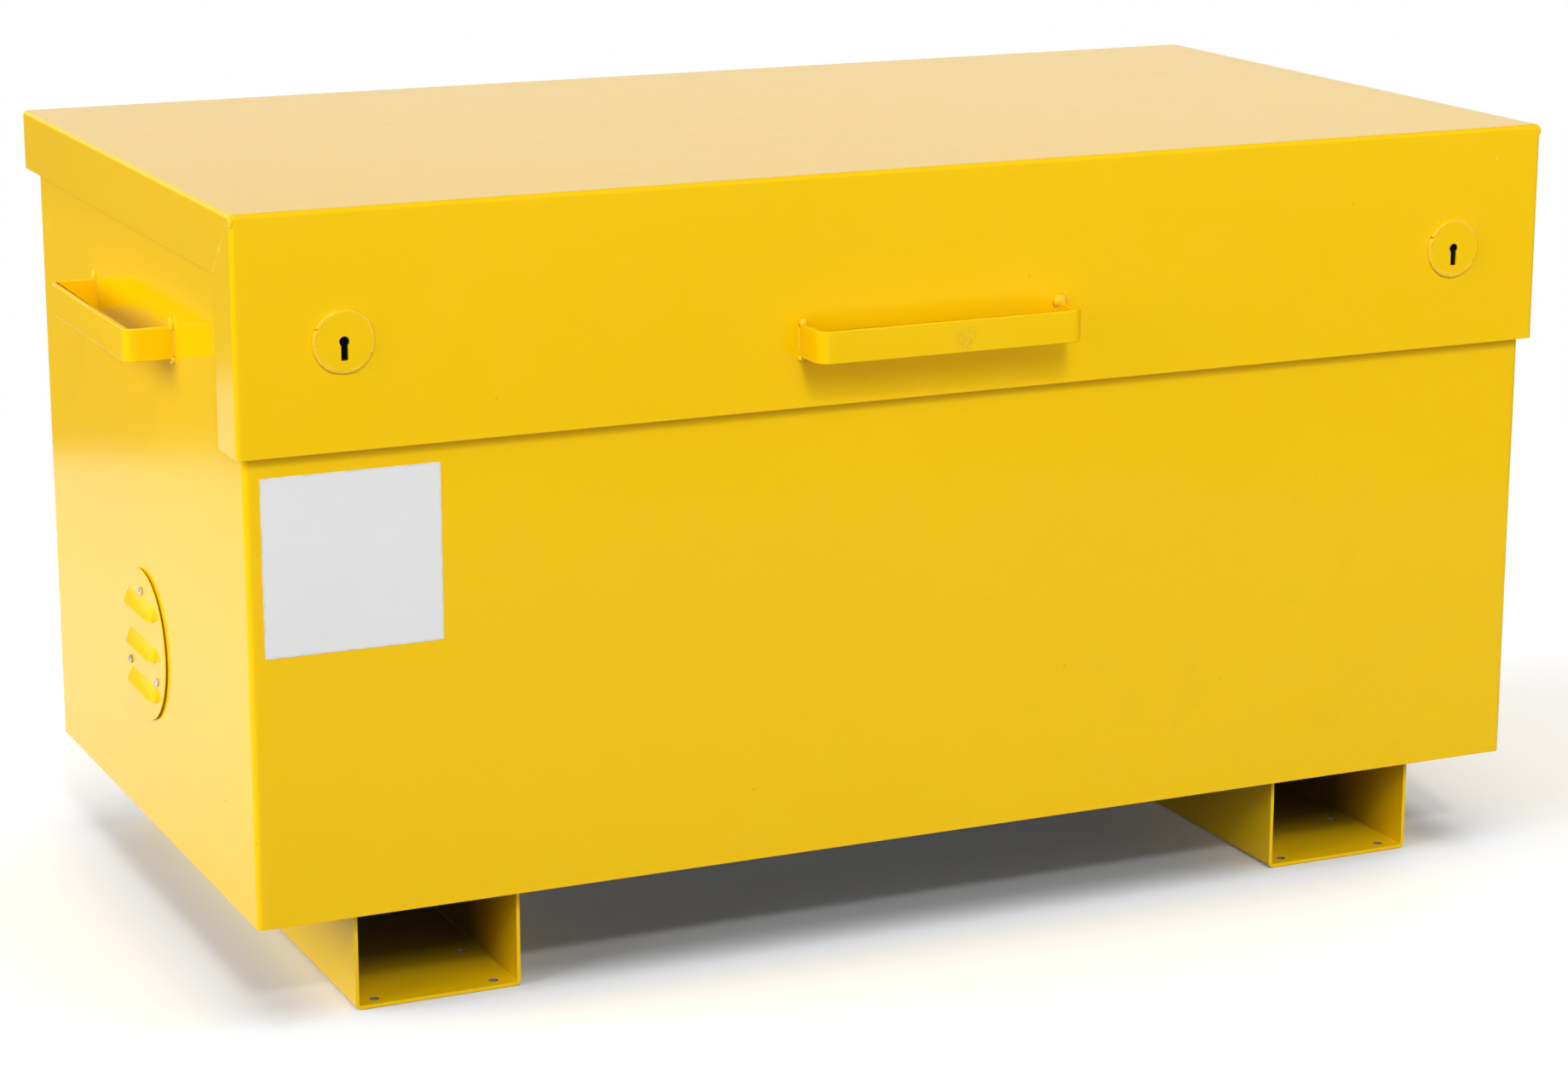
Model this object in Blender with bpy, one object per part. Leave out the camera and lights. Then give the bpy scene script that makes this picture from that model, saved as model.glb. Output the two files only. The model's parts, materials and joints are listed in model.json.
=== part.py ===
"""Steel chest for storing chemicals on site, with a deep hinged lid, two locks and fork skids.

Metres, +Z up. The chest stands on z = 0 and its front faces -Y. The origin is the centre
of the whole footprint, with the handles counted in.
"""
import math

import bmesh
import bpy
from mathutils import Matrix, Vector

# Lid, a folded pan whose front flap hangs lower than its other sides
LID_WIDTH = 1.150
LID_DEPTH = 0.615
OVERALL_HEIGHT = 0.640
LID_SHEET = 0.002
LID_FOLD = 0.004
FLAP_DEPTH = 0.184
FLANGE_DEPTH = 0.050
FLAP_RETURN = 0.047

# Body, set in from the lid's outer faces
END_INSET = 0.007
FRONT_INSET = 0.009
REAR_INSET = 0.0215
BODY_SHEET = 0.002
BODY_FOLD = 0.005
RIM_LIP = 0.015
JAMB_WIDTH = 0.030
REAR_RETURN = 0.030
FLAP_LAP = 0.030
SUMP_HEIGHT = 0.085

# Channel along the top of the cut-down front wall
FRONT_RIM_WIDTH = 0.030
FRONT_RIM_LEG = 0.025
FRONT_RIM_HEM = 0.014

# Fork skids with bolt holes for castor plates
SKID_WIDTH = 0.138
SKID_HEIGHT = 0.084
SKID_WALL = 0.003
SKID_FOLD = 0.0045
SKID_INSET = 0.083
SKID_SETBACK = 0.020
CASTOR_HOLE_RADIUS = 0.004
CASTOR_HOLE_SPAN_X = 0.100
CASTOR_HOLE_SPAN_Y = 0.075
CASTOR_HOLE_EDGE = 0.012

# Flat-bar handles
HANDLE_LENGTH = 0.233
HANDLE_REACH = 0.039
HANDLE_BAR_WIDTH = 0.026
HANDLE_BAR_THICKNESS = 0.005
HANDLE_FOLD = 0.010
LID_HANDLE_DROP = 0.130
END_HANDLE_DROP = 0.1285

# Round louvred vents on the ends
VENT_RADIUS = 0.063
VENT_HEIGHT = 0.239
VENT_PLATE = 0.0012
VENT_HOLE_RADIUS = 0.038
VENT_SCREW_CIRCLE = 0.045
VENT_SCREW_COUNT = 3
GASKET_THICKNESS = 0.0007
GASKET_SETBACK = 0.003
LOUVRE_COUNT = 3
LOUVRE_LENGTH = 0.085
LOUVRE_HEIGHT = 0.012
LOUVRE_PITCH = 0.034
LOUVRE_PROUD = 0.0055
LOUVRE_END = 0.010
LOUVRE_SHEET = 0.0012
SCREW_HEAD_RADIUS = 0.0036
SCREW_HEAD_HEIGHT = 0.0022
SCREW_SHANK_RADIUS = 0.002
SCREW_SHANK_LENGTH = 0.014

# Lever deadlocks behind the flap
LOCK_JAMB_GAP = 0.0205
LOCK_DROP = 0.100
ESCUTCHEON_RADIUS = 0.0230
ESCUTCHEON_THICKNESS = 0.0022
ESCUTCHEON_CHAMFER = 0.0006
KEYHOLE_RADIUS = 0.0040
KEYHOLE_SLOT = 0.0056
KEYHOLE_DROP = 0.0144
FLAP_KEY_HOLE_RADIUS = 0.018
LOCK_WIDTH = 0.066
LOCK_HEIGHT = 0.090
LOCK_THICKNESS = 0.020
LOCK_BACKSET = 0.044
LOCK_BELOW_KEYHOLE = 0.040
LOCK_BACK_WALL = 0.004
BOLT_RISE = 0.024
BOLT_HEIGHT = 0.022
BOLT_THICKNESS = 0.010
BOLT_LENGTH = 0.046
BOLT_HEAD_LENGTH = 0.026
BOLT_TAIL_HEIGHT = 0.014
BOLT_PROUD = 0.001
BOLT_THROW = 0.018
BOLT_CLEARANCE = 0.0004
LOCK_BOX_SHEET = 0.0015
LOCK_BOX_MARGIN = 0.004
LOCK_BOX_FOLD = 0.003
KEEP_SHEET = 0.004
KEEP_FOLD = 0.007
KEEP_FOOT = 0.026
BOLT_PAST_KEEP = 0.004
KEEP_ABOVE_BOLT = 0.010
KEEP_SLOT_CLEARANCE = 0.0012
KEEP_FLAP_GAP = 0.0015

# Hinges, set behind the lid's rear flange
HINGE_COUNT = 3
HINGE_INSET = 0.175
HINGE_LENGTH = 0.090
LEAF_THICKNESS = 0.004
BODY_LEAF_DROP = 0.050
LID_LEAF_RISE = 0.040
HINGE_PIN_RADIUS = 0.005
HINGE_PIN_PROUD = 0.002
KNUCKLE_GAP = 0.0005

# Hat sections under the lid, on the thirds of its width
STIFFENER_WIDTH = 0.060
STIFFENER_DEPTH = 0.022
STIFFENER_FLANGE = 0.016
STIFFENER_SHEET = 0.0015
STIFFENER_FOLD = 0.003
STIFFENER_FRONT_GAP = 0.012
SWING_CLEARANCE = 0.010

# Gas struts: both pins lie at one distance from the hinge axis, so a strut turns half as far as the lid
LID_OPENING = math.radians(80)
STRUT_REACH = 0.230
STRUT_RISE = 0.025
STRUT_CLOSED_ANGLE = math.radians(75)
STRUT_INSET = 0.030
CYLINDER_RADIUS = 0.011
CYLINDER_WALL = 0.0015
CYLINDER_START = 0.025
CYLINDER_FLOOR = 0.006
GLAND_LENGTH = 0.006
ROD_RADIUS = 0.004
PISTON_LENGTH = 0.008
STRUT_END_CLEARANCE = 0.002
EYE_RADIUS = 0.010
EYE_THICKNESS = 0.012
NECK_RADIUS = 0.0055
ROD_FITTING_LENGTH = 0.022
STRUT_PIN_RADIUS = 0.004
STRUT_PIN_HEAD_RADIUS = 0.007
STRUT_PIN_HEAD = 0.002
SHOULDER_RADIUS = 0.008
BRACKET_SHEET = 0.003
BRACKET_FOLD = 0.005
BRACKET_WIDTH = 0.040
BRACKET_FOOT = 0.038
BODY_BRACKET_HEIGHT = 0.060

# Fits
SEAT_GAP = 0.0003
RUNNING_GAP = 0.0004
SIDE_PLAY = 0.0006
CUT_MARGIN = 0.010

# Roundness of the faceted shapes
FOLD_STEPS = 3
LOUVRE_STEPS = 4
ROUND_STEPS = 32
SMALL_ROUND_STEPS = 20
SHARP_ANGLE = math.radians(32)

# Places worked out from the sizes above
LID_FRONT = -(LID_DEPTH - HANDLE_REACH) / 2
LID_REAR = LID_FRONT + LID_DEPTH
LID_HALF = LID_WIDTH / 2
LID_UNDERSIDE = OVERALL_HEIGHT - LID_SHEET
FLAP_BOTTOM = OVERALL_HEIGHT - FLAP_DEPTH
FLANGE_BOTTOM = OVERALL_HEIGHT - FLANGE_DEPTH
FLAP_INSIDE = LID_FRONT + LID_SHEET

BODY_HALF = LID_HALF - END_INSET
BODY_INSIDE = BODY_HALF - BODY_SHEET
BODY_FRONT = LID_FRONT + FRONT_INSET
BODY_REAR = LID_REAR - REAR_INSET
BODY_MIDDLE = (BODY_FRONT + BODY_REAR) / 2
BODY_BOTTOM = SKID_HEIGHT + SEAT_GAP
RIM_TOP = LID_UNDERSIDE - SEAT_GAP
FRONT_RIM_TOP = FLAP_BOTTOM + FLAP_LAP
FRONT_WALL_INSIDE = BODY_FRONT + BODY_SHEET
REAR_PANEL_BACK = BODY_REAR - BODY_SHEET - SEAT_GAP
REAR_PANEL_INSIDE = REAR_PANEL_BACK - BODY_SHEET

KEYHOLE_Z = OVERALL_HEIGHT - LOCK_DROP
LOCK_FRONT = FLAP_INSIDE + SEAT_GAP
LOCK_BACK = LOCK_FRONT + LOCK_THICKNESS
LOCK_BOTTOM = KEYHOLE_Z - LOCK_BELOW_KEYHOLE
LOCK_OUTER_X = BODY_HALF - JAMB_WIDTH - LOCK_JAMB_GAP - LOCK_BOX_SHEET - LOCK_BOX_MARGIN
LOCK_INNER_X = LOCK_OUTER_X - LOCK_WIDTH
LOCK_X = LOCK_INNER_X + LOCK_BACKSET
BOLT_Y = (LOCK_FRONT + LOCK_BACK) / 2
BOLT_Z = KEYHOLE_Z + BOLT_RISE
BOLT_TIP = LOCK_INNER_X - BOLT_PROUD
LOCK_BOX_INNER_X = LOCK_INNER_X - LOCK_BOX_MARGIN - LOCK_BOX_SHEET
KEEP_OUTER_X = BOLT_TIP - BOLT_THROW + BOLT_PAST_KEEP + KEEP_SHEET

SKID_X = BODY_HALF - SKID_INSET - SKID_WIDTH / 2
STIFFENER_X = LID_WIDTH / 6
HINGE_SPACING = (LID_WIDTH - 2 * HINGE_INSET) / (HINGE_COUNT - 1)
HINGE_GAP_FRONT = REAR_PANEL_BACK + SEAT_GAP
HINGE_GAP_REAR = LID_REAR - LID_SHEET - SEAT_GAP
BARREL_RADIUS = (HINGE_GAP_REAR - HINGE_GAP_FRONT) / 2
HINGE_AXIS = Vector((0, HINGE_GAP_FRONT + BARREL_RADIUS, FLANGE_BOTTOM))

STRUT_X = BODY_INSIDE - STRUT_INSET
STRUT_RADIUS = math.hypot(STRUT_REACH, STRUT_RISE)
STRUT_LID_ANGLE = math.atan2(STRUT_RISE, STRUT_REACH)
STRUT_CLOSED_LENGTH = 2 * STRUT_RADIUS * math.sin(STRUT_CLOSED_ANGLE / 2)
STRUT_OPEN_LENGTH = 2 * STRUT_RADIUS * math.sin((STRUT_CLOSED_ANGLE + LID_OPENING) / 2)
BORE_START = CYLINDER_START + CYLINDER_FLOOR
ROD_REACH = STRUT_CLOSED_LENGTH - BORE_START - STRUT_END_CLEARANCE
PISTON_TRAVEL = STRUT_OPEN_LENGTH - STRUT_CLOSED_LENGTH + PISTON_LENGTH
CYLINDER_END = BORE_START + 2 * STRUT_END_CLEARANCE + PISTON_TRAVEL + GLAND_LENGTH

VENT_FACE = BODY_HALF + SEAT_GAP + GASKET_THICKNESS + SEAT_GAP + VENT_PLATE

SIDES = (("left", -1), ("right", 1))
AXIS_PLACES = {
    "X": lambda a, b, height: (height, a, b),
    "Y": lambda a, b, height: (a, height, b),
    "Z": lambda a, b, height: (a, b, height),
}


# Materials

def make_material(name, colour, roughness, metallic):
    material = bpy.data.materials.new(name)
    material.use_nodes = True
    shader = material.node_tree.nodes["Principled BSDF"]
    shader.inputs["Base Color"].default_value = (*colour, 1.0)
    shader.inputs["Roughness"].default_value = roughness
    shader.inputs["Metallic"].default_value = metallic
    material.diffuse_color = (*colour, 1.0)
    return material


def make_materials():
    return {
        "yellow": make_material("yellow_powder_coat", (0.87, 0.50, 0.008), 0.35, 0.0),
        "zinc": make_material("zinc_plate", (0.62, 0.63, 0.65), 0.35, 1.0),
        "steel": make_material("bare_steel", (0.50, 0.50, 0.52), 0.30, 1.0),
        "chrome": make_material("chromed_rod", (0.75, 0.76, 0.78), 0.12, 1.0),
        "black": make_material("black_enamel", (0.02, 0.02, 0.022), 0.40, 0.0),
        "rubber": make_material("gasket_rubber", (0.03, 0.03, 0.03), 0.80, 0.0),
        "brass": make_material("brass_bolt", (0.78, 0.57, 0.27), 0.30, 1.0),
    }


# Objects and modifiers

def finish_mesh(name, shape):
    bmesh.ops.recalc_face_normals(shape, faces=shape.faces)
    mesh = bpy.data.meshes.new(name)
    shape.to_mesh(mesh)
    shape.free()
    return mesh


def add_object(name, shape, material, origin=(0, 0, 0), parent=None):
    """Add a shape drawn in world places as an object whose own origin is the given point."""
    origin = Vector(origin)
    bmesh.ops.translate(shape, verts=shape.verts, vec=-origin)
    return place_object(name, shape, material, origin, parent)


def place_object(name, shape, material, location, parent=None, turn=0.0):
    """Add a shape drawn about its own origin, turned about X and set down at a place."""
    mesh = finish_mesh(name, shape)
    mesh.materials.append(material)
    mesh.shade_smooth()
    mesh.set_sharp_from_angle(angle=SHARP_ANGLE)
    item = bpy.data.objects.new(name, mesh)
    bpy.context.scene.collection.objects.link(item)
    item.location = Vector(location)
    item.rotation_euler = (turn, 0, 0)
    if parent is not None:
        item.parent = parent
        item.location -= parent.location
    return item


def add_pivot(name, location):
    pivot = bpy.data.objects.new(name, None)
    bpy.context.scene.collection.objects.link(pivot)
    pivot.location = Vector(location)
    return pivot


def add_tool(item, shape, operation, tag):
    """Cut a shape from an item, or join it on, with a Boolean modifier."""
    tool = bpy.data.objects.new(item.name + "_" + tag, finish_mesh(tag, shape))
    bpy.context.scene.collection.objects.link(tool)
    tool.hide_render = True
    tool.display_type = "WIRE"
    modifier = item.modifiers.new(tag, "BOOLEAN")
    modifier.operation = operation
    modifier.object = tool
    return tool


def cut(item, shape, tag):
    return add_tool(item, shape, "DIFFERENCE", tag)


def join(item, shape, tag):
    return add_tool(item, shape, "UNION", tag)


def follow_item(tool, item):
    """Draw a tool about the origin of the item that it shapes."""
    tool.location = item.location
    tool.rotation_euler = item.rotation_euler
    if item.parent is not None:
        tool.location = item.location + item.parent.location


# Outlines

def arc(centre, radius, start, end, steps):
    points = []
    for step in range(steps + 1):
        angle = start + (end - start) * step / steps
        points.append((centre[0] + radius * math.cos(angle), centre[1] + radius * math.sin(angle)))
    return points


def circle(centre, radius, steps=ROUND_STEPS):
    return arc(centre, radius, 0, 2 * math.pi, steps)[:-1]


def rectangle(low, high):
    return [(low[0], low[1]), (high[0], low[1]), (high[0], high[1]), (low[0], high[1])]


def rounded_rectangle(low, high, radius):
    points = []
    corners = (
        (high[0] - radius, high[1] - radius),
        (low[0] + radius, high[1] - radius),
        (low[0] + radius, low[1] + radius),
        (high[0] - radius, low[1] + radius),
    )
    for index, corner in enumerate(corners):
        start = index * math.pi / 2
        points += arc(corner, radius, start, start + math.pi / 2, FOLD_STEPS)
    return points


def bent_strip(corners, thickness, fold):
    """Outline of a strip along a centre line, folded at each inner corner to an outer radius."""
    corners = [Vector(corner) for corner in corners]
    radius = fold - thickness / 2
    spine = []
    ahead = (corners[1] - corners[0]).normalized()
    spine.append((corners[0], Vector((-ahead.y, ahead.x))))
    for before, corner, after in zip(corners, corners[1:], corners[2:]):
        ahead = (corner - before).normalized()
        onward = (after - corner).normalized()
        turn = math.atan2(ahead.cross(onward), ahead.dot(onward))
        side = Vector((-ahead.y, ahead.x))
        centre = corner - ahead * radius * math.tan(abs(turn) / 2) + side * math.copysign(radius, turn)
        for step in range(FOLD_STEPS + 1):
            swing = Matrix.Rotation(turn * step / FOLD_STEPS, 2)
            normal = swing @ side
            spine.append((centre - normal * math.copysign(radius, turn), normal))
    ahead = (corners[-1] - corners[-2]).normalized()
    spine.append((corners[-1], Vector((-ahead.y, ahead.x))))
    left = [point + normal * thickness / 2 for point, normal in spine]
    right = [point - normal * thickness / 2 for point, normal in spine]
    return [tuple(point) for point in left + right[::-1]]


def keyhole(centre):
    """Round hole with a slot that points down."""
    half = KEYHOLE_SLOT / 2
    meet = math.asin(half / KEYHOLE_RADIUS)
    points = arc(centre, KEYHOLE_RADIUS, meet - math.pi / 2, 1.5 * math.pi - meet, SMALL_ROUND_STEPS)
    points.append((centre[0] - half, centre[1] - KEYHOLE_DROP))
    points.append((centre[0] + half, centre[1] - KEYHOLE_DROP))
    return points


# Solid shapes

def add_prism(shape, outline, axis, low, high):
    place = AXIS_PLACES[axis]
    bottom = [shape.verts.new(place(a, b, low)) for a, b in outline]
    top = [shape.verts.new(place(a, b, high)) for a, b in outline]
    shape.faces.new(bottom)
    shape.faces.new(top)
    for index, corner in enumerate(bottom):
        after = (index + 1) % len(bottom)
        shape.faces.new((corner, bottom[after], top[after], top[index]))
    return bottom + top


def prism(outline, axis, low, high):
    shape = bmesh.new()
    add_prism(shape, outline, axis, low, high)
    return shape


def box(low, high):
    return prism(rectangle(low[:2], high[:2]), "Z", low[2], high[2])


def add_turned(shape, profile, steps, turn=Matrix.Identity(4)):
    """Turn a profile of radius and height about Z. It starts and ends on the axis."""
    rings = []
    for radius, height in profile:
        if radius == 0:
            rings.append([shape.verts.new((0, 0, height))])
            continue
        rings.append([shape.verts.new((x, y, height)) for x, y in circle((0, 0), radius, steps)])
    for lower, upper in zip(rings, rings[1:]):
        for index in range(steps):
            after = (index + 1) % steps
            corners = [lower[index % len(lower)], lower[after % len(lower)]]
            corners += [upper[after % len(upper)], upper[index % len(upper)]]
            shape.faces.new(list(dict.fromkeys(corners)))
    points = [point for ring in rings for point in ring]
    bmesh.ops.transform(shape, matrix=turn, verts=points)


def turned(profile, steps=SMALL_ROUND_STEPS, turn=Matrix.Identity(4)):
    shape = bmesh.new()
    add_turned(shape, profile, steps, turn)
    return shape


def along_x(side, place):
    """Matrix that lays a turned shape along X, pointing to the given side."""
    return Matrix.Translation(place) @ Matrix.Rotation(side * math.pi / 2, 4, "Y")


def on_plane(edge, axis, place):
    return all(abs(corner.co[axis] - place) < SEAT_GAP / 2 for corner in edge.verts)


def round_edges(shape, planes, radius):
    """Round each edge that lies on two of the planes, given as pairs of axis and place."""
    folds = []
    for edge in shape.edges:
        if sum(on_plane(edge, axis, place) for axis, place in planes) > 1:
            folds.append(edge)
    bmesh.ops.bevel(
        shape, geom=folds, offset=radius, offset_type="OFFSET", segments=FOLD_STEPS,
        profile=0.5, affect="EDGES", clamp_overlap=True,
    )
    return shape


# Body

def make_body_band(materials):
    low = (-BODY_HALF, BODY_FRONT)
    high = (BODY_HALF, BODY_REAR)
    shape = prism(rounded_rectangle(low, high, BODY_FOLD), "Z", BODY_BOTTOM, RIM_TOP)
    band = add_object("body_band", shape, materials["yellow"])
    low = (-BODY_INSIDE, FRONT_WALL_INSIDE)
    high = (BODY_INSIDE, BODY_REAR - BODY_SHEET)
    hollow = rounded_rectangle(low, high, BODY_FOLD - BODY_SHEET)
    cut(band, prism(hollow, "Z", BODY_BOTTOM - CUT_MARGIN, RIM_TOP - BODY_SHEET), "hollow")
    rim_half = BODY_HALF - RIM_LIP
    low = (-rim_half, BODY_FRONT + RIM_LIP, RIM_TOP - 2 * BODY_SHEET)
    high = (rim_half, BODY_REAR - BODY_SHEET, RIM_TOP + CUT_MARGIN)
    cut(band, box(low, high), "mouth")
    front_half = BODY_HALF - JAMB_WIDTH
    low = (-front_half, BODY_FRONT - CUT_MARGIN, FRONT_RIM_TOP)
    high = (front_half, BODY_FRONT + RIM_LIP + CUT_MARGIN, RIM_TOP + CUT_MARGIN)
    cut(band, box(low, high), "front_opening")
    rear_half = BODY_HALF - REAR_RETURN
    low = (-rear_half, BODY_REAR - BODY_FOLD - CUT_MARGIN, BODY_BOTTOM - CUT_MARGIN)
    high = (rear_half, BODY_REAR + CUT_MARGIN, RIM_TOP + CUT_MARGIN)
    cut(band, box(low, high), "rear_opening")
    cut(band, vent_holes(), "vent_holes")


def vent_holes():
    """Vent and screw holes, through both ends at once."""
    shape = bmesh.new()
    reach = BODY_HALF + CUT_MARGIN
    add_prism(shape, circle((BODY_MIDDLE, VENT_HEIGHT), VENT_HOLE_RADIUS), "X", -reach, reach)
    for place in vent_screw_places():
        hole = circle(place, SCREW_SHANK_RADIUS + RUNNING_GAP, SMALL_ROUND_STEPS)
        add_prism(shape, hole, "X", -reach, reach)
    return shape


def vent_screw_places():
    places = []
    for index in range(VENT_SCREW_COUNT):
        angle = math.pi / 2 + index * 2 * math.pi / VENT_SCREW_COUNT
        across = BODY_MIDDLE + VENT_SCREW_CIRCLE * math.cos(angle)
        places.append((across, VENT_HEIGHT + VENT_SCREW_CIRCLE * math.sin(angle)))
    return places


def make_rear_panel(materials):
    middle = REAR_PANEL_BACK - BODY_SHEET / 2
    top = RIM_TOP - BODY_SHEET / 2
    path = [(middle, BODY_BOTTOM), (middle, top), (REAR_PANEL_BACK - RIM_LIP, top)]
    half = BODY_HALF - RIM_LIP - SEAT_GAP
    shape = prism(bent_strip(path, BODY_SHEET, BODY_FOLD), "X", -half, half)
    add_object("rear_panel", shape, materials["yellow"])


def make_sump_pan(materials):
    half = BODY_INSIDE - SEAT_GAP
    front = FRONT_WALL_INSIDE + SEAT_GAP
    rear = REAR_PANEL_INSIDE - SEAT_GAP
    outer = rounded_rectangle((-half, front), (half, rear), BODY_FOLD)
    shape = prism(outer, "Z", BODY_BOTTOM, BODY_BOTTOM + SUMP_HEIGHT)
    pan = add_object("sump_pan", shape, materials["yellow"])
    low = (-half + BODY_SHEET, front + BODY_SHEET)
    high = (half - BODY_SHEET, rear - BODY_SHEET)
    hollow = rounded_rectangle(low, high, BODY_FOLD - BODY_SHEET)
    top = BODY_BOTTOM + SUMP_HEIGHT + CUT_MARGIN
    cut(pan, prism(hollow, "Z", BODY_BOTTOM + BODY_SHEET, top), "hollow")


def make_front_rim(materials):
    front = FRONT_WALL_INSIDE + SEAT_GAP + BODY_SHEET / 2
    back = front + FRONT_RIM_WIDTH - BODY_SHEET
    top = FRONT_RIM_TOP - BODY_SHEET / 2
    path = [(front, top - FRONT_RIM_LEG), (front, top), (back, top), (back, top - FRONT_RIM_HEM)]
    half = BODY_INSIDE - SEAT_GAP - BODY_FOLD
    shape = prism(bent_strip(path, BODY_SHEET, BODY_FOLD), "X", -half, half)
    add_object("front_rim", shape, materials["yellow"])


def make_skid(name, side, materials):
    middle = side * SKID_X
    left = middle - SKID_WIDTH / 2 + SKID_WALL / 2
    right = middle + SKID_WIDTH / 2 - SKID_WALL / 2
    floor = SKID_WALL / 2
    path = [(left, SKID_HEIGHT), (left, floor), (right, floor), (right, SKID_HEIGHT)]
    front = BODY_FRONT + SKID_SETBACK
    rear = BODY_REAR - SKID_SETBACK
    shape = prism(bent_strip(path, SKID_WALL, SKID_FOLD), "Y", front, rear)
    skid = add_object(name + "_skid", shape, materials["yellow"])
    holes = bmesh.new()
    first = CASTOR_HOLE_EDGE
    second = CASTOR_HOLE_EDGE + CASTOR_HOLE_SPAN_Y
    for across in (-CASTOR_HOLE_SPAN_X / 2, CASTOR_HOLE_SPAN_X / 2):
        for along in (front + first, front + second, rear - second, rear - first):
            hole = circle((middle + across, along), CASTOR_HOLE_RADIUS, SMALL_ROUND_STEPS)
            add_prism(holes, hole, "Z", -CUT_MARGIN, SKID_WALL + CUT_MARGIN)
    cut(skid, holes, "castor_holes")


# Handles

def handle_path(middle, wall, outward):
    """Centre line of a handle whose feet stand on a wall, as pairs of along and out."""
    half = (HANDLE_LENGTH - HANDLE_BAR_THICKNESS) / 2
    foot = wall + outward * SEAT_GAP
    grip = wall + outward * (HANDLE_REACH - HANDLE_BAR_THICKNESS / 2)
    return [(middle - half, foot), (middle - half, grip), (middle + half, grip), (middle + half, foot)]


def make_lid_handle(materials, lid):
    path = handle_path(0, LID_FRONT, -1)
    middle = OVERALL_HEIGHT - LID_HANDLE_DROP
    outline = bent_strip(path, HANDLE_BAR_THICKNESS, HANDLE_FOLD)
    shape = prism(outline, "Z", middle - HANDLE_BAR_WIDTH / 2, middle + HANDLE_BAR_WIDTH / 2)
    add_object("lid_handle", shape, materials["yellow"], (0, LID_FRONT, middle), lid)


def make_end_handle(name, side, materials):
    path = [(out, along) for along, out in handle_path(BODY_MIDDLE, side * BODY_HALF, side)]
    middle = OVERALL_HEIGHT - END_HANDLE_DROP
    outline = bent_strip(path, HANDLE_BAR_THICKNESS, HANDLE_FOLD)
    shape = prism(outline, "Z", middle - HANDLE_BAR_WIDTH / 2, middle + HANDLE_BAR_WIDTH / 2)
    add_object(name + "_end_handle", shape, materials["yellow"], (side * BODY_HALF, BODY_MIDDLE, middle))


# Vents

def louvre_hood(shape, height, shrink, back):
    """Pressed hood that swells out to an open lower edge, with round ends."""
    half = LOUVRE_LENGTH / 2 - shrink
    end = LOUVRE_END - shrink
    top = height + LOUVRE_HEIGHT / 2 - shrink
    bottom = height - LOUVRE_HEIGHT / 2 - (CUT_MARGIN / 4 if shrink else 0)
    proud = LOUVRE_PROUD - shrink
    points = []
    for side in (-1, 1):
        for along, width in arc((half - end, 0), end, 0, math.pi / 2, FOLD_STEPS):
            share = width / end
            points.append((side * along, bottom + share * (top - bottom), back))
            for rise, out in arc((0, 0), share, 0, math.pi / 2, LOUVRE_STEPS):
                points.append((side * along, bottom + rise * (top - bottom), out * proud))
    corners = [shape.verts.new((out, along, rise)) for along, rise, out in dict.fromkeys(points)]
    hull = bmesh.ops.convex_hull(shape, input=corners)
    loose = [item for item in hull["geom_interior"] if isinstance(item, bmesh.types.BMVert)]
    bmesh.ops.delete(shape, geom=loose, context="VERTS")


def louvre_hoods(shrink, back, side):
    shape = bmesh.new()
    for index in range(LOUVRE_COUNT):
        louvre_hood(shape, (index - (LOUVRE_COUNT - 1) / 2) * LOUVRE_PITCH, shrink, back)
    place = Matrix.Translation((side * VENT_FACE, BODY_MIDDLE, VENT_HEIGHT))
    mirror = Matrix.Diagonal((side, 1, 1, 1))
    bmesh.ops.transform(shape, matrix=place @ mirror, verts=shape.verts)
    return shape


def make_vent(name, side, materials):
    inner = side * (BODY_HALF + SEAT_GAP)
    outer = inner + side * GASKET_THICKNESS
    ring = prism(circle((BODY_MIDDLE, VENT_HEIGHT), VENT_RADIUS - GASKET_SETBACK), "X", inner, outer)
    gasket = add_object(name + "_vent_gasket", ring, materials["rubber"])
    inner = outer + side * SEAT_GAP
    disc = prism(circle((BODY_MIDDLE, VENT_HEIGHT), VENT_RADIUS), "X", inner, side * VENT_FACE)
    plate = add_object(name + "_vent_plate", disc, materials["yellow"])
    join(plate, louvre_hoods(0, -VENT_PLATE / 2, side), "hoods")
    cut(plate, louvre_hoods(LOUVRE_SHEET, -VENT_PLATE - CUT_MARGIN, side), "slots")
    cut(gasket, vent_holes(), "holes")
    holes = bmesh.new()
    reach = VENT_FACE + CUT_MARGIN
    for place in vent_screw_places():
        hole = circle(place, SCREW_SHANK_RADIUS + RUNNING_GAP, SMALL_ROUND_STEPS)
        add_prism(holes, hole, "X", -reach, reach)
    cut(plate, holes, "screw_holes")
    for index, place in enumerate(vent_screw_places(), start=1):
        make_vent_screw(name + "_vent_screw_" + str(index), side, place, materials)


def make_vent_screw(name, side, place, materials):
    rim = SCREW_HEAD_RADIUS
    profile = [(0, -SCREW_SHANK_LENGTH), (SCREW_SHANK_RADIUS, -SCREW_SHANK_LENGTH + SCREW_SHANK_RADIUS)]
    profile += [(SCREW_SHANK_RADIUS, 0), (rim, 0), (rim, SCREW_HEAD_HEIGHT / 3)]
    profile += [(rim * 0.72, SCREW_HEAD_HEIGHT * 0.85), (0, SCREW_HEAD_HEIGHT)]
    seat = Vector((side * (VENT_FACE + SEAT_GAP), *place))
    shape = turned(profile, SMALL_ROUND_STEPS, along_x(side, seat))
    add_object(name, shape, materials["zinc"], seat)


# Lid

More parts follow.
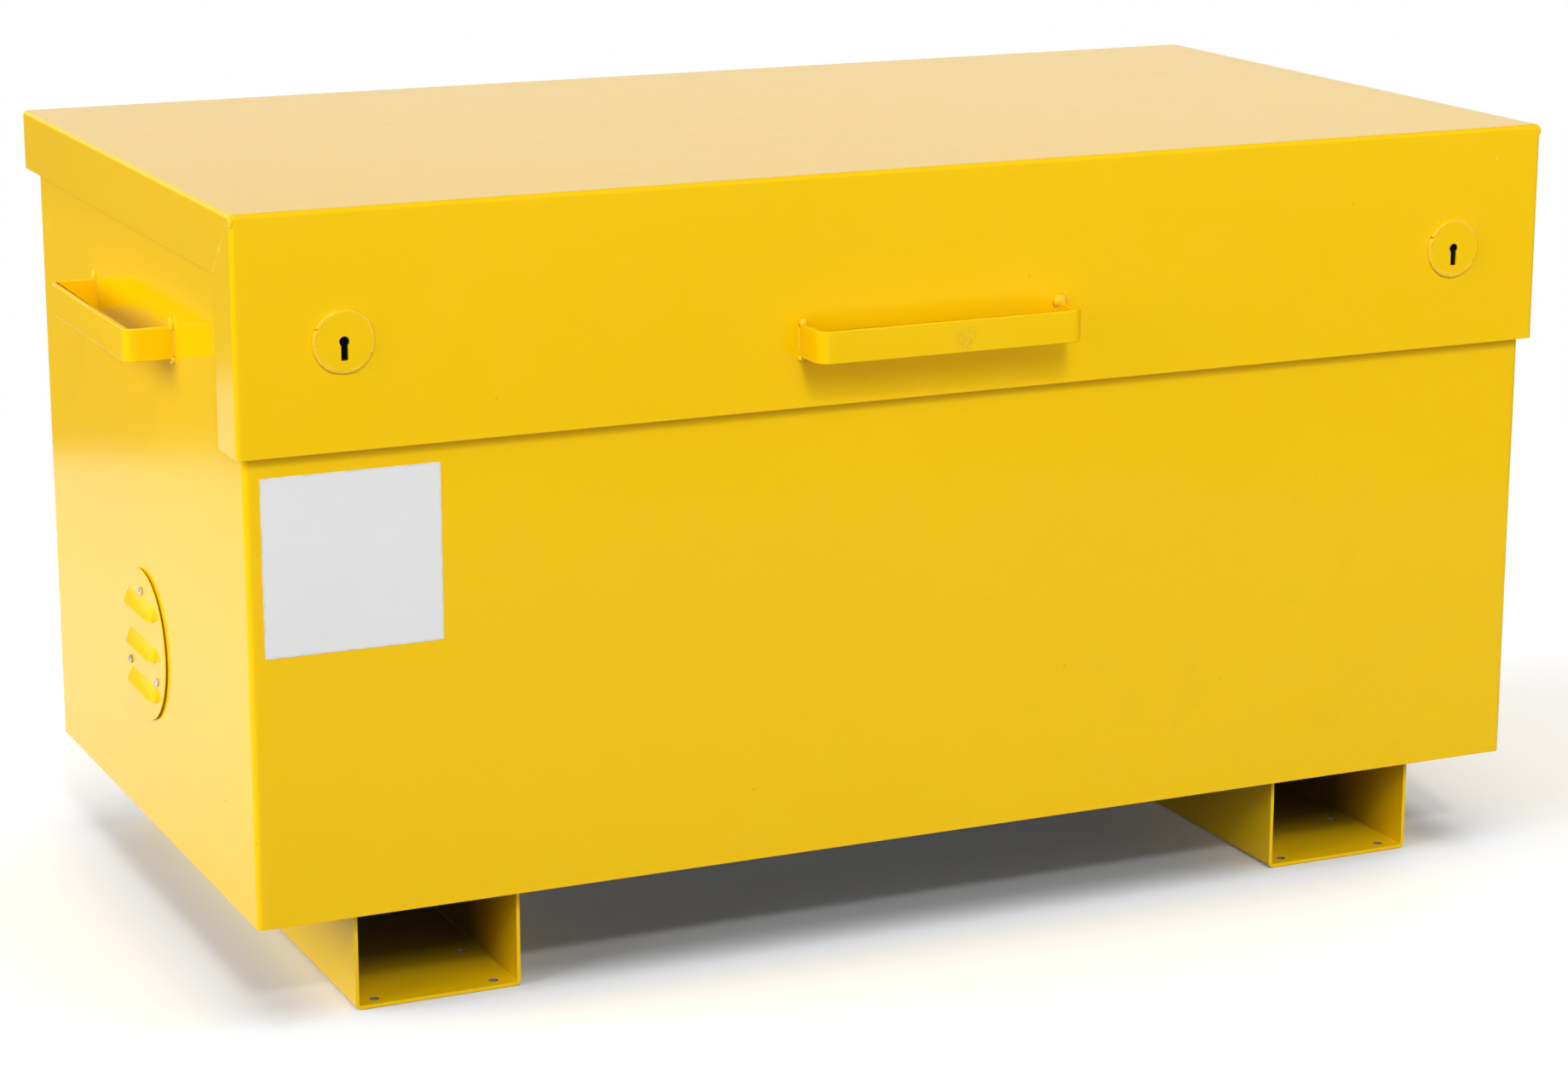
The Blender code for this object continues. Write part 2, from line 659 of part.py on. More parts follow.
def make_lid_shell(materials, lid):
    outline = [
        (LID_FRONT, OVERALL_HEIGHT),
        (LID_REAR, OVERALL_HEIGHT),
        (LID_REAR, FLANGE_BOTTOM),
        (LID_FRONT + FLAP_RETURN, FLANGE_BOTTOM),
        (LID_FRONT + FLAP_RETURN, FLAP_BOTTOM),
        (LID_FRONT, FLAP_BOTTOM),
    ]
    shape = prism(outline, "X", -LID_HALF, LID_HALF)
    planes = [(0, -LID_HALF), (0, LID_HALF), (1, LID_FRONT), (1, LID_REAR), (2, OVERALL_HEIGHT)]
    round_edges(shape, planes, LID_FOLD)
    shell = add_object("lid_shell", shape, materials["yellow"], HINGE_AXIS, lid)
    holes = bmesh.new()
    for side in (-1, 1):
        hole = circle((side * LOCK_X, KEYHOLE_Z), FLAP_KEY_HOLE_RADIUS)
        add_prism(holes, hole, "Y", LID_FRONT - CUT_MARGIN, FLAP_INSIDE + CUT_MARGIN)
    cut(shell, holes, "key_holes")
    half = LID_HALF - LID_SHEET
    low = (-half, FLAP_INSIDE, FLAP_BOTTOM - CUT_MARGIN)
    high = (half, LID_REAR - LID_SHEET, LID_UNDERSIDE)
    planes = [(0, -half), (0, half), (1, low[1]), (1, high[1]), (2, high[2])]
    cut(shell, round_edges(box(low, high), planes, LID_FOLD - LID_SHEET), "hollow")


def make_lid_stiffener(index, side, materials, lid):
    middle = side * STIFFENER_X
    upper = LID_UNDERSIDE - SEAT_GAP - STIFFENER_SHEET / 2
    lower = upper - STIFFENER_DEPTH + STIFFENER_SHEET
    inner = STIFFENER_WIDTH / 2
    outer = inner + STIFFENER_FLANGE
    path = [(middle - outer, upper), (middle - inner, upper), (middle - inner, lower)]
    path += [(middle + inner, lower), (middle + inner, upper), (middle + outer, upper)]
    outline = bent_strip(path, STIFFENER_SHEET, STIFFENER_FOLD)
    front = FLAP_INSIDE + STIFFENER_FRONT_GAP
    shape = prism(outline, "Y", front, stiffener_rear(lower - STIFFENER_SHEET / 2))
    add_object("lid_stiffener_" + str(index), shape, materials["yellow"], HINGE_AXIS, lid)


def stiffener_rear(lower):
    """Rear end that swings clear of the rear panel's lip as the lid opens."""
    lip = math.hypot(HINGE_AXIS.y - REAR_PANEL_BACK + RIM_LIP, RIM_TOP - HINGE_AXIS.z)
    swing = lip + SWING_CLEARANCE
    return HINGE_AXIS.y - math.sqrt(max(swing ** 2 - (lower - HINGE_AXIS.z) ** 2, 0))


# Hinges

def leaf_outline(reach, upright):
    """Barrel with a plate that leaves it at a tangent, up the lid's flange or down the rear panel."""
    sweep = math.acos((BARREL_RADIUS - LEAF_THICKNESS) / BARREL_RADIUS)
    points = [(-BARREL_RADIUS, -reach)]
    points += arc((0, 0), BARREL_RADIUS, math.pi, sweep - math.pi, SMALL_ROUND_STEPS)
    points.append((LEAF_THICKNESS - BARREL_RADIUS, -reach))
    turn = -1 if upright else 1
    return [(HINGE_AXIS.y + turn * a, HINGE_AXIS.z + turn * b) for a, b in points]


def pin_bore():
    outline = circle((HINGE_AXIS.y, HINGE_AXIS.z), HINGE_PIN_RADIUS + SEAT_GAP, SMALL_ROUND_STEPS)
    return prism(outline, "X", -LID_HALF, LID_HALF)


def knuckle_space(low, high, upright):
    """Room for the other leaf's knuckle."""
    room = BARREL_RADIUS + KNUCKLE_GAP
    turn = 1 if upright else -1
    near = HINGE_AXIS.z + turn * room
    far = HINGE_AXIS.z - turn * (room + CUT_MARGIN)
    corner = (low, HINGE_AXIS.y - room, min(near, far))
    return box(corner, (high, HINGE_AXIS.y + room, max(near, far)))


def make_hinge(index, middle, materials, lid):
    half = HINGE_LENGTH / 2
    knuckle = HINGE_LENGTH / 6
    place = Vector((middle, HINGE_AXIS.y, HINGE_AXIS.z))
    shape = prism(leaf_outline(BODY_LEAF_DROP, False), "X", middle - half, middle + half)
    body_leaf = add_object("body_hinge_leaf_" + str(index), shape, materials["yellow"], place)
    gap = KNUCKLE_GAP / 2
    cut(body_leaf, knuckle_space(middle - knuckle - gap, middle + knuckle + gap, False), "knuckle_space")
    cut(body_leaf, pin_bore(), "pin_bore")
    shape = prism(leaf_outline(LID_LEAF_RISE, True), "X", middle - half, middle + half)
    lid_leaf = add_object("lid_hinge_leaf_" + str(index), shape, materials["yellow"], place, lid)
    reach = half + CUT_MARGIN
    cut(lid_leaf, knuckle_space(middle - reach, middle - knuckle + gap, True), "left_space")
    cut(lid_leaf, knuckle_space(middle + knuckle - gap, middle + reach, True), "right_space")
    cut(lid_leaf, pin_bore(), "pin_bore")
    length = half + HINGE_PIN_PROUD
    outline = circle((HINGE_AXIS.y, HINGE_AXIS.z), HINGE_PIN_RADIUS, SMALL_ROUND_STEPS)
    pin = prism(outline, "X", middle - length, middle + length)
    add_object("hinge_pin_" + str(index), pin, materials["steel"], place)


# Locks

def make_escutcheon(name, side, materials, lid):
    place = (side * LOCK_X, KEYHOLE_Z)
    back = LID_FRONT - SEAT_GAP
    front = back - ESCUTCHEON_THICKNESS
    profile = [(0, 0), (ESCUTCHEON_RADIUS, 0), (ESCUTCHEON_RADIUS, ESCUTCHEON_THICKNESS - ESCUTCHEON_CHAMFER)]
    profile += [(ESCUTCHEON_RADIUS - ESCUTCHEON_CHAMFER, ESCUTCHEON_THICKNESS), (0, ESCUTCHEON_THICKNESS)]
    centre = Vector((place[0], back, place[1]))
    face_front = Matrix.Translation(centre) @ Matrix.Rotation(math.pi / 2, 4, "X")
    disc = turned(profile, ROUND_STEPS, face_front)
    escutcheon = add_object(name + "_escutcheon", disc, materials["yellow"], centre, lid)
    cut(escutcheon, prism(keyhole(place), "Y", front - CUT_MARGIN, back + CUT_MARGIN), "keyhole")


def side_box(side, inner, outer, low, high):
    """Box between two distances from the middle, with low and high as pairs of Y and Z."""
    left, right = sorted((side * inner, side * outer))
    return box((left, *low), (right, *high))


def make_lock_case(name, side, materials, lid):
    top = LOCK_BOTTOM + LOCK_HEIGHT
    shape = side_box(side, LOCK_INNER_X, LOCK_OUTER_X, (LOCK_FRONT, LOCK_BOTTOM), (LOCK_BACK, top))
    centre = (side * LOCK_X, LOCK_FRONT, KEYHOLE_Z)
    case = add_object(name + "_lock_case", shape, materials["black"], centre, lid)
    room_y = BOLT_THICKNESS / 2 + BOLT_CLEARANCE
    room_z = BOLT_HEIGHT / 2 + BOLT_CLEARANCE
    end = BOLT_TIP + BOLT_LENGTH + BOLT_CLEARANCE
    low = (BOLT_Y - room_y, BOLT_Z - room_z)
    high = (BOLT_Y + room_y, BOLT_Z + room_z)
    cut(case, side_box(side, LOCK_INNER_X - CUT_MARGIN, end, low, high), "bolt_way")
    outline = keyhole((side * LOCK_X, KEYHOLE_Z))
    cut(case, prism(outline, "Y", LOCK_FRONT - CUT_MARGIN, LOCK_BACK - LOCK_BACK_WALL), "keyhole")


def make_lock_bolt(name, side, materials, lid):
    head = BOLT_TIP + BOLT_HEAD_LENGTH
    tail = BOLT_TIP + BOLT_LENGTH
    tall = BOLT_HEIGHT / 2
    slim = BOLT_TAIL_HEIGHT / 2
    points = [(BOLT_TIP, -tall), (head, -tall), (head, -slim), (tail, -slim)]
    points += [(along, -rise) for along, rise in reversed(points)]
    outline = [(side * along, BOLT_Z + rise) for along, rise in points]
    shape = prism(outline, "Y", BOLT_Y - BOLT_THICKNESS / 2, BOLT_Y + BOLT_THICKNESS / 2)
    add_object(name + "_lock_bolt", shape, materials["brass"], (side * BOLT_TIP, BOLT_Y, BOLT_Z), lid)


def make_lock_box(name, side, materials, lid):
    wall = LOCK_BOX_MARGIN + LOCK_BOX_SHEET
    inner = LOCK_INNER_X - wall
    outer = LOCK_OUTER_X + wall
    bottom = LOCK_BOTTOM - wall
    top = LOCK_BOTTOM + LOCK_HEIGHT + wall
    back = LOCK_BACK + SEAT_GAP + LOCK_BOX_SHEET
    shape = side_box(side, inner, outer, (LOCK_FRONT, bottom), (back, top))
    planes = [(0, side * inner), (0, side * outer), (1, back), (2, bottom), (2, top)]
    round_edges(shape, planes, LOCK_BOX_FOLD)
    centre = (side * LOCK_X, LOCK_FRONT, KEYHOLE_Z)
    cover = add_object(name + "_lock_box", shape, materials["yellow"], centre, lid)
    inner += LOCK_BOX_SHEET
    outer -= LOCK_BOX_SHEET
    bottom += LOCK_BOX_SHEET
    top -= LOCK_BOX_SHEET
    back -= LOCK_BOX_SHEET
    room = side_box(side, inner, outer, (LOCK_FRONT - CUT_MARGIN, bottom), (back, top))
    planes = [(0, side * inner), (0, side * outer), (1, back), (2, bottom), (2, top)]
    cut(cover, round_edges(room, planes, LOCK_BOX_FOLD - LOCK_BOX_SHEET), "hollow")
    low = (BOLT_Y - BOLT_THICKNESS / 2 - KEEP_SLOT_CLEARANCE, BOLT_Z - BOLT_HEIGHT / 2 - KEEP_SLOT_CLEARANCE)
    high = (BOLT_Y + BOLT_THICKNESS / 2 + KEEP_SLOT_CLEARANCE, BOLT_Z + BOLT_HEIGHT / 2 + KEEP_SLOT_CLEARANCE)
    cut(cover, side_box(side, LOCK_BOX_INNER_X - CUT_MARGIN, inner + LOCK_BOX_SHEET, low, high), "bolt_slot")


def make_lock_keep(name, side, materials):
    """Upright on the front rim with a slot for the bolt."""
    foot = FRONT_RIM_TOP + SEAT_GAP + KEEP_SHEET / 2
    upright = KEEP_OUTER_X - KEEP_SHEET / 2
    top = BOLT_Z + BOLT_HEIGHT / 2 + KEEP_ABOVE_BOLT
    path = [(side * (KEEP_OUTER_X - KEEP_FOOT), foot), (side * upright, foot), (side * upright, top)]
    front = FLAP_INSIDE + KEEP_FLAP_GAP
    rear = FRONT_WALL_INSIDE + SEAT_GAP + FRONT_RIM_WIDTH
    shape = prism(bent_strip(path, KEEP_SHEET, KEEP_FOLD), "Y", front, rear)
    keep = add_object(name + "_lock_keep", shape, materials["zinc"], (side * upright, BOLT_Y, FRONT_RIM_TOP))
    ledge = FRONT_RIM_TOP + KEEP_FOLD + CUT_MARGIN
    low = (front - CUT_MARGIN, FRONT_RIM_TOP - CUT_MARGIN)
    cut(keep, side_box(side, 0, LID_HALF, low, (FRONT_WALL_INSIDE + SEAT_GAP, ledge)), "front_notch")
    low = (BOLT_Y - BOLT_THICKNESS / 2 - KEEP_SLOT_CLEARANCE, BOLT_Z - BOLT_HEIGHT / 2 - KEEP_SLOT_CLEARANCE)
    high = (BOLT_Y + BOLT_THICKNESS / 2 + KEEP_SLOT_CLEARANCE, BOLT_Z + BOLT_HEIGHT / 2 + KEEP_SLOT_CLEARANCE)
    near = KEEP_OUTER_X - KEEP_SHEET - SIDE_PLAY
    cut(keep, side_box(side, near, KEEP_OUTER_X + SIDE_PLAY, low, high), "bolt_slot")


# Gas struts

def strut_pin(angle):
    """Place of a strut pin at the given angle above the forward direction from the hinge axis."""
    along = STRUT_RADIUS * math.cos(angle)
    return Vector((0, HINGE_AXIS.y - along, HINGE_AXIS.z + STRUT_RADIUS * math.sin(angle)))


def finish_eye(item):
    """Join the eye to a strut's end and bore it for its pin."""
    half = EYE_THICKNESS / 2
    follow_item(join(item, prism(circle((0, 0), EYE_RADIUS), "X", -half, half), "eye"), item)
    bore = circle((0, 0), STRUT_PIN_RADIUS + SEAT_GAP, SMALL_ROUND_STEPS)
    follow_item(cut(item, prism(bore, "X", -half - CUT_MARGIN, half + CUT_MARGIN), "eye_bore"), item)


def neck_start():
    return (EYE_RADIUS + STRUT_PIN_RADIUS + SEAT_GAP) / 2


def make_strut_cylinder(name, place, turn, materials):
    edge = CYLINDER_WALL / 2
    bore = CYLINDER_RADIUS - CYLINDER_WALL
    gland = ROD_RADIUS + RUNNING_GAP
    profile = [(0, neck_start()), (NECK_RADIUS, neck_start()), (NECK_RADIUS, CYLINDER_START)]
    profile += [(CYLINDER_RADIUS - edge, CYLINDER_START), (CYLINDER_RADIUS, CYLINDER_START + edge)]
    profile += [(CYLINDER_RADIUS, CYLINDER_END - edge), (CYLINDER_RADIUS - edge, CYLINDER_END)]
    profile += [(gland, CYLINDER_END), (gland, CYLINDER_END - GLAND_LENGTH)]
    profile += [(bore, CYLINDER_END - GLAND_LENGTH), (bore, BORE_START), (0, BORE_START)]
    cylinder = place_object(name + "_strut_cylinder", turned(profile), materials["black"], place, None, turn)
    finish_eye(cylinder)


def make_strut_rod(name, place, turn, materials, lid):
    piston = CYLINDER_RADIUS - CYLINDER_WALL - RUNNING_GAP
    profile = [(0, neck_start()), (NECK_RADIUS, neck_start()), (NECK_RADIUS, ROD_FITTING_LENGTH)]
    profile += [(ROD_RADIUS, ROD_FITTING_LENGTH), (ROD_RADIUS, ROD_REACH - PISTON_LENGTH)]
    profile += [(piston, ROD_REACH - PISTON_LENGTH), (piston, ROD_REACH), (0, ROD_REACH)]
    rod = place_object(name + "_strut_rod", turned(profile), materials["chrome"], place, lid, turn)
    finish_eye(rod)


def pin_profile(length):
    """Pin that starts on a bracket's face, passes through an eye and ends in a head."""
    eye = length - EYE_THICKNESS - 2 * SIDE_PLAY
    profile = [(0, -BRACKET_SHEET / 2), (SHOULDER_RADIUS, -BRACKET_SHEET / 2), (SHOULDER_RADIUS, eye)]
    profile += [(STRUT_PIN_RADIUS, eye), (STRUT_PIN_RADIUS, length), (STRUT_PIN_HEAD_RADIUS, length)]
    return profile + [(STRUT_PIN_HEAD_RADIUS, length + STRUT_PIN_HEAD), (0, length + STRUT_PIN_HEAD)]


def make_strut_body_bracket(name, side, place, materials):
    low = (place.y - BRACKET_WIDTH / 2, place.z - BODY_BRACKET_HEIGHT / 2)
    high = (place.y + BRACKET_WIDTH / 2, place.z + BODY_BRACKET_HEIGHT / 2)
    outer = BODY_INSIDE - SEAT_GAP
    inner = outer - BRACKET_SHEET
    plate = prism(rounded_rectangle(low, high, BRACKET_FOLD), "X", *sorted((side * inner, side * outer)))
    bracket = add_object(name + "_strut_body_bracket", plate, materials["zinc"], place)
    length = inner - STRUT_X + EYE_THICKNESS / 2 + SIDE_PLAY
    seat = Vector((side * inner, place.y, place.z))
    join(bracket, turned(pin_profile(length), SMALL_ROUND_STEPS, along_x(-side, seat)), "pin")


def make_strut_lid_bracket(name, side, place, materials, lid):
    face = STRUT_X + EYE_THICKNESS / 2 + 2 * SIDE_PLAY
    tab = face + BRACKET_SHEET / 2
    top = LID_UNDERSIDE - SEAT_GAP - BRACKET_SHEET / 2
    bottom = place.z - EYE_RADIUS - BRACKET_SHEET
    path = [(side * tab, bottom), (side * tab, top), (side * (tab - BRACKET_FOOT), top)]
    outline = bent_strip(path, BRACKET_SHEET, BRACKET_FOLD)
    shape = prism(outline, "Y", place.y - BRACKET_WIDTH / 2, place.y + BRACKET_WIDTH / 2)
    bracket = add_object(name + "_strut_lid_bracket", shape, materials["zinc"], place, lid)
    length = face - STRUT_X + EYE_THICKNESS / 2 + SIDE_PLAY
    seat = Vector((side * face, place.y, place.z))
    join(bracket, turned(pin_profile(length), SMALL_ROUND_STEPS, along_x(-side, seat)), "pin")


def make_strut(name, side, materials, lid):
    sideways = Vector((side * STRUT_X, 0, 0))
    upper = strut_pin(STRUT_LID_ANGLE) + sideways
    lower = strut_pin(STRUT_LID_ANGLE - STRUT_CLOSED_ANGLE) + sideways
    ahead = upper - lower
    turn = math.atan2(-ahead.y, ahead.z)
    make_strut_body_bracket(name, side, lower, materials)
    make_strut_lid_bracket(name, side, upper, materials, lid)
    make_strut_cylinder(name, lower, turn, materials)
    make_strut_rod(name, upper, turn + math.pi, materials, lid)


# Assembly

def clear_scene():
    for item in list(bpy.data.objects):
        bpy.data.objects.remove(item, do_unlink=True)


def build():
    clear_scene()
    materials = make_materials()
    make_body_band(materials)
    make_rear_panel(materials)
    make_sump_pan(materials)
    make_front_rim(materials)
    lid = add_pivot("lid_pivot", HINGE_AXIS)
    make_lid_shell(materials, lid)
    make_lid_handle(materials, lid)
    for name, side in SIDES:
        make_skid(name, side, materials)
        make_end_handle(name, side, materials)
        make_vent(name, side, materials)
        make_escutcheon(name, side, materials, lid)
        make_lock_case(name, side, materials, lid)
        make_lock_bolt(name, side, materials, lid)
        make_lock_box(name, side, materials, lid)
        make_lock_keep(name, side, materials)
        make_strut(name, side, materials, lid)
    for index, (_, side) in enumerate(SIDES, start=1):
        make_lid_stiffener(index, side, materials, lid)
    for index in range(HINGE_COUNT):
        middle = (index - (HINGE_COUNT - 1) / 2) * HINGE_SPACING
        make_hinge(index + 1, middle, materials, lid)


build()
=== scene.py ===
"""Looks of a steel chest for chemicals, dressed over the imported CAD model.

Metres, +Z up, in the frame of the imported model. The front of the chest faces -Y.
"""
import json
import math
import random

import bmesh
import bpy
from mathutils import Matrix, Vector, noise


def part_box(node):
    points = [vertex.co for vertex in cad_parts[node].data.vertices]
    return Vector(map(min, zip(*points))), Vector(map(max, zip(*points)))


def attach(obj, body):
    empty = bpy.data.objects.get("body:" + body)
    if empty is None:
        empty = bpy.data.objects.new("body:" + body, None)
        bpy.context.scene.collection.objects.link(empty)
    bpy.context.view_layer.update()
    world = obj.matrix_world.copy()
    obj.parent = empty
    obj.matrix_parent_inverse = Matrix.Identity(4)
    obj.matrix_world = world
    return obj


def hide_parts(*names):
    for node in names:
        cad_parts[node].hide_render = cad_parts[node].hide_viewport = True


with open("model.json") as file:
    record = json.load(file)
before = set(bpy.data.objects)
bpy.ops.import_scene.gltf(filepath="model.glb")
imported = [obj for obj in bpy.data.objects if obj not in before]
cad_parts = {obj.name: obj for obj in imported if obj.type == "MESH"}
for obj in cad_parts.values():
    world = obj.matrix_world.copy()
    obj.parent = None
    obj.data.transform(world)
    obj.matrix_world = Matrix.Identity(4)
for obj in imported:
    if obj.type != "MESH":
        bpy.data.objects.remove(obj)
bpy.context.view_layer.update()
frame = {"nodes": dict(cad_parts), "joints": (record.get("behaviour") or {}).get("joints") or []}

SIDES = (("left", -1), ("right", 1))
FULL_TURN = 2 * math.pi
QUARTER_TURN = math.pi / 2

# Camera, solved from the corners of the lid and body in the photo
CAMERA_PLACE = Vector((-1.3881, -3.0417, 1.1107))
CAMERA_AZIMUTH = math.radians(-24.559)
CAMERA_ELEVATION = math.radians(14.122)
CAMERA_ROLL = math.radians(0.040)
IMAGE_WIDTH = 1840
FOCAL_PIXELS = 4624
SENSOR_WIDTH = 36

# Lamps: name, where the light comes from, level, spread in degrees, whether mirrors show it,
# and the floor's link. EXCLUDE skips the floor, INCLUDE lights nothing else, None lights all.
LAMPS = (
    ("key_light", (-0.15, -0.76, 0.63), 0.34, 25, False, "EXCLUDE"),
    ("glint_light", (-0.15, -0.72, 0.68), 0.16, 6, True, None),
    ("floor_light", (0.05, -0.20, 0.98), 0.53, 50, False, "INCLUDE"),
    ("front_fill", (0.20, -0.95, 0.03), 0.56, 80, False, "EXCLUDE"),
    ("left_light", (-1.0, 0.10, 0.34), 1.07, 60, False, None),
    ("rear_fill", (0.70, 0.72, -0.04), 0.94, 70, False, None),
)

# World: its light, and the spans of height and brightness that mirrors show of its wall
WORLD_LIGHT = 0.09
WALL_FOOT = (0.02, 0.08, 0.15, 0.95)
WALL_HEAD = (0.25, 0.70, 0.95, 0.25)

# Floor
FLOOR_RADIUS = 2.0
FLOOR_FADE = 1.2
FLOOR_DROP = 0.0004
FLOOR_GLOW = 0.05

# Colours, as linear light; metals and black have a dark and a light one
WHITE = (1.0, 1.0, 1.0)
YELLOW = (0.920, 0.568, 0.001)
YELLOW_DEEP = (0.900, 0.550, 0.001)
YELLOW_PALE = (0.930, 0.640, 0.070)
SCUFF = (0.33, 0.22, 0.05)
SPECK = (0.26, 0.17, 0.03)
RUBBED = (0.58, 0.36, 0.03)
# painted shade: a dark coat colour that stands in for the shade inside the skids and under the sump
PAINTED_SHADE = (0.110, 0.072, 0.008)
# bare steel walls of the skids' holes, darkened as painted shade
HOLE_WALL_SHADE = (0.20, 0.18, 0.15)
ZINC = ((0.56, 0.55, 0.53), (0.76, 0.75, 0.73))
STEEL = ((0.34, 0.34, 0.35), (0.52, 0.52, 0.53))
CHROME = ((0.66, 0.67, 0.69), (0.80, 0.81, 0.82))
BRASS = ((0.62, 0.42, 0.17), (0.80, 0.60, 0.28))
BLACK = ((0.012, 0.012, 0.013), (0.030, 0.030, 0.031))
DUST = (0.34, 0.34, 0.35)
VINYL = (0.770, 0.770, 0.770)
VINYL_EDGE = (0.62, 0.61, 0.58)
FLOOR = (0.960, 0.971, 0.990)
FLOOR_DEEP = (0.945, 0.958, 0.980)
FLOOR_BOUNCE = (0.15, 0.15, 0.15)
FLOOR_GLOW_COLOUR = (0.86, 0.93, 1.00)

# Layers of noise: scale, detail, a span of noise, and the span of values that it is spread over
LAYERS = {
    "coat_clouds": (21.0, 4.0, 0.45, 0.80, 0.0, 0.04),
    "coat_drags": (9.0, 5.0, 0.66, 0.74, 0.0, 0.035),
    "coat_stains": (26.0, 3.0, 0.60, 0.70, 0.0, 0.03),
    "coat_worn_and_lit_edges": (75.0, 5.0, 0.40, 0.62, 0.0, 0.45),
    "coat_roughness": (33.0, 3.0, 0.25, 0.75, 0.13, 0.17),
    "rub_grain": (260.0, 6.0, 0.40, 0.64, 0.0, 1.0),
    "enamel_dust": (420.0, 5.0, 0.62, 0.72, 0.0, 0.3),
    "vinyl_dirt": (120.0, 4.0, 0.35, 0.65, 0.0, 1.0),
    "floor_tone": (1.2, 3.0, 0.3, 0.7, 0.0, 1.0),
}

# Bumps of noise: scale, detail, strength and depth
BUMPS = {
    "coat_waves": (2.5, 1.0, 0.15, 0.020),
    "coat_peel": (620.0, 2.0, 0.025, 0.0004),
    "enamel_peel": (700.0, 2.0, 0.06, 0.0004),
    "rubber_grain": (900.0, 3.0, 0.2, 0.0004),
    "vinyl_peel": (480.0, 2.0, 0.04, 0.0004),
}

# Yellow coat: scale and detail of its broad noise, two spans of it, and its specks
PAINT_IOR = 1.25
WELD_IOR = 1.60
COAT_BROAD = (2.3, 3.0)
COAT_TONE = (0.30, 0.72)
COAT_STAINED = (0.42, 0.60)
COAT_SPECKS = (46.0, 0.045, 0.90)
SPECK_SHARE = 0.45
DRAG_STRETCH = (6, 6, 60)
WAVE_STRETCH = (1.0, 1.0, 0.3)

# Edges found by a rounding of this radius, and how far its normal leans at none and at full
EDGE_RADIUS = 0.0016
EDGE_LEAN = (0.97, 0.75)

# Small marks on the coat, each a place, a radius and a colour: the pale one on the flap is a painted
# highlight of a small dent, the dark one a small dark spot
MARKS = (
    ((0.5315, -0.2880, 0.6135), 0.0021, YELLOW_PALE),
    ((-0.5680, -0.2013, 0.1670), 0.0015, SPECK),
)
MARK_CORE = 0.5
MARK_SHARE = 0.75

# Rubbed patch on the lid handle
RUB_PLACE = (0.010, -0.327, 0.508)
RUB_RADIUS = 0.012
RUB_CORE = 0.3
RUB_SHARE = 0.55
RUB_ROUGHNESS = 0.25

# Painted shade inside the skids, deeper from their mouths inward, and on faces that look downward
SHADE_INWARD = (0.010, 0.110, 0.0, 0.88)
SHADE_DOWNWARD = (-0.5, -0.9, 0.0, 0.88)
HOLE_EDGE = 0.006

# Which way a face looks, as the least share of its normal along that way
LOOKS_INWARD = 0.01
LOOKS_UP = 0.5
LOOKS_AHEAD = 0.98
LOOKS_SIDEWAYS = 0.7
STANDS_UPRIGHT = 0.8

# Metals
METAL_PATCHES = (28.0, 4.0)
METAL_GRAIN_DETAIL = 4.0
METAL_TONE = (0.36, 0.62)
METAL_ROUGH_TONE = (0.35, 0.65)
METAL_SPECKS = (160.0, 0.12, 0.88)
METAL_SPECK_SHARE = 0.5
METAL_BUMP_DEPTH = 0.0004
SPECK_CORE = 0.6

# Enamel, rubber and vinyl: the span of noise for their tone, and the vinyl's own values
TONE_SPAN = (0.3, 0.7)
BLACK_DETAIL = 4.0
VINYL_NOISE = (14.0, 3.0)
VINYL_TINT = (0.45, 0.85, 0.0, 0.12)
VINYL_ROUGHNESS = (0.34, 0.44)
VINYL_RIM = (0.972, 0.998)

# Bare white plate on the front, low at the left
PLATE_LEFT = -0.5557
PLATE_RIGHT = -0.4128
PLATE_BOTTOM = 0.299
PLATE_TOP = 0.439
PLATE_HALF_WIDTH = (PLATE_RIGHT - PLATE_LEFT) / 2
PLATE_HALF_HEIGHT = (PLATE_TOP - PLATE_BOTTOM) / 2
PLATE_THICKNESS = 0.0003
PLATE_CORNER = 0.0015
PLATE_CORNER_STEPS = 4
PLATE_EDGE_STEPS = 14
PLATE_RINGS = 9
BUBBLE_HEIGHT = 0.00012
BUBBLE_RATE = 34
BUBBLE_ROW = 2.0

# Weld beads: radius, seed and unevenness of each kind
BEADS = {
    "lid_handle": (0.0012, 3, 0.25),
    "end_handle": (0.0012, 11, 0.25),
    "escutcheon": (0.0022, 21, 0.22),
    "lid_corner": (0.00062, 31, 0.4),
    "skid": (0.0024, 41, 0.25),
    "hinge": (0.0026, 61, 0.25),
    "rear_seam": (0.0021, 81, 0.25),
    "sump": (0.0019, 101, 0.18),
    "lock_box_side": (0.0020, 111, 0.25),
    "lock_box_end": (0.0020, 121, 0.25),
    "keep_side": (0.0022, 131, 0.25),
    "keep_rear": (0.0018, 133, 0.25),
}
BEAD_SIDES = 10
BEAD_STEP = 0.0011
BEAD_PITCH = 0.0030
BEAD_RIPPLE = 0.10
BEAD_DRIFT = 0.6
BEAD_TIP = 0.04
BEAD_STEEP = 0.9
SEEDS_PER_LINE = 9

# Noise along a bead: rate, stretch of the seed, and a row of its own
BEAD_WAVER = (90, 1.0, 0.0)
BEAD_FINE = (260, 7.3, 1.7)
BEAD_COARSE = (70, 3.1, 9.2)
BEAD_WANDER = (120, 1.0, 5.0)

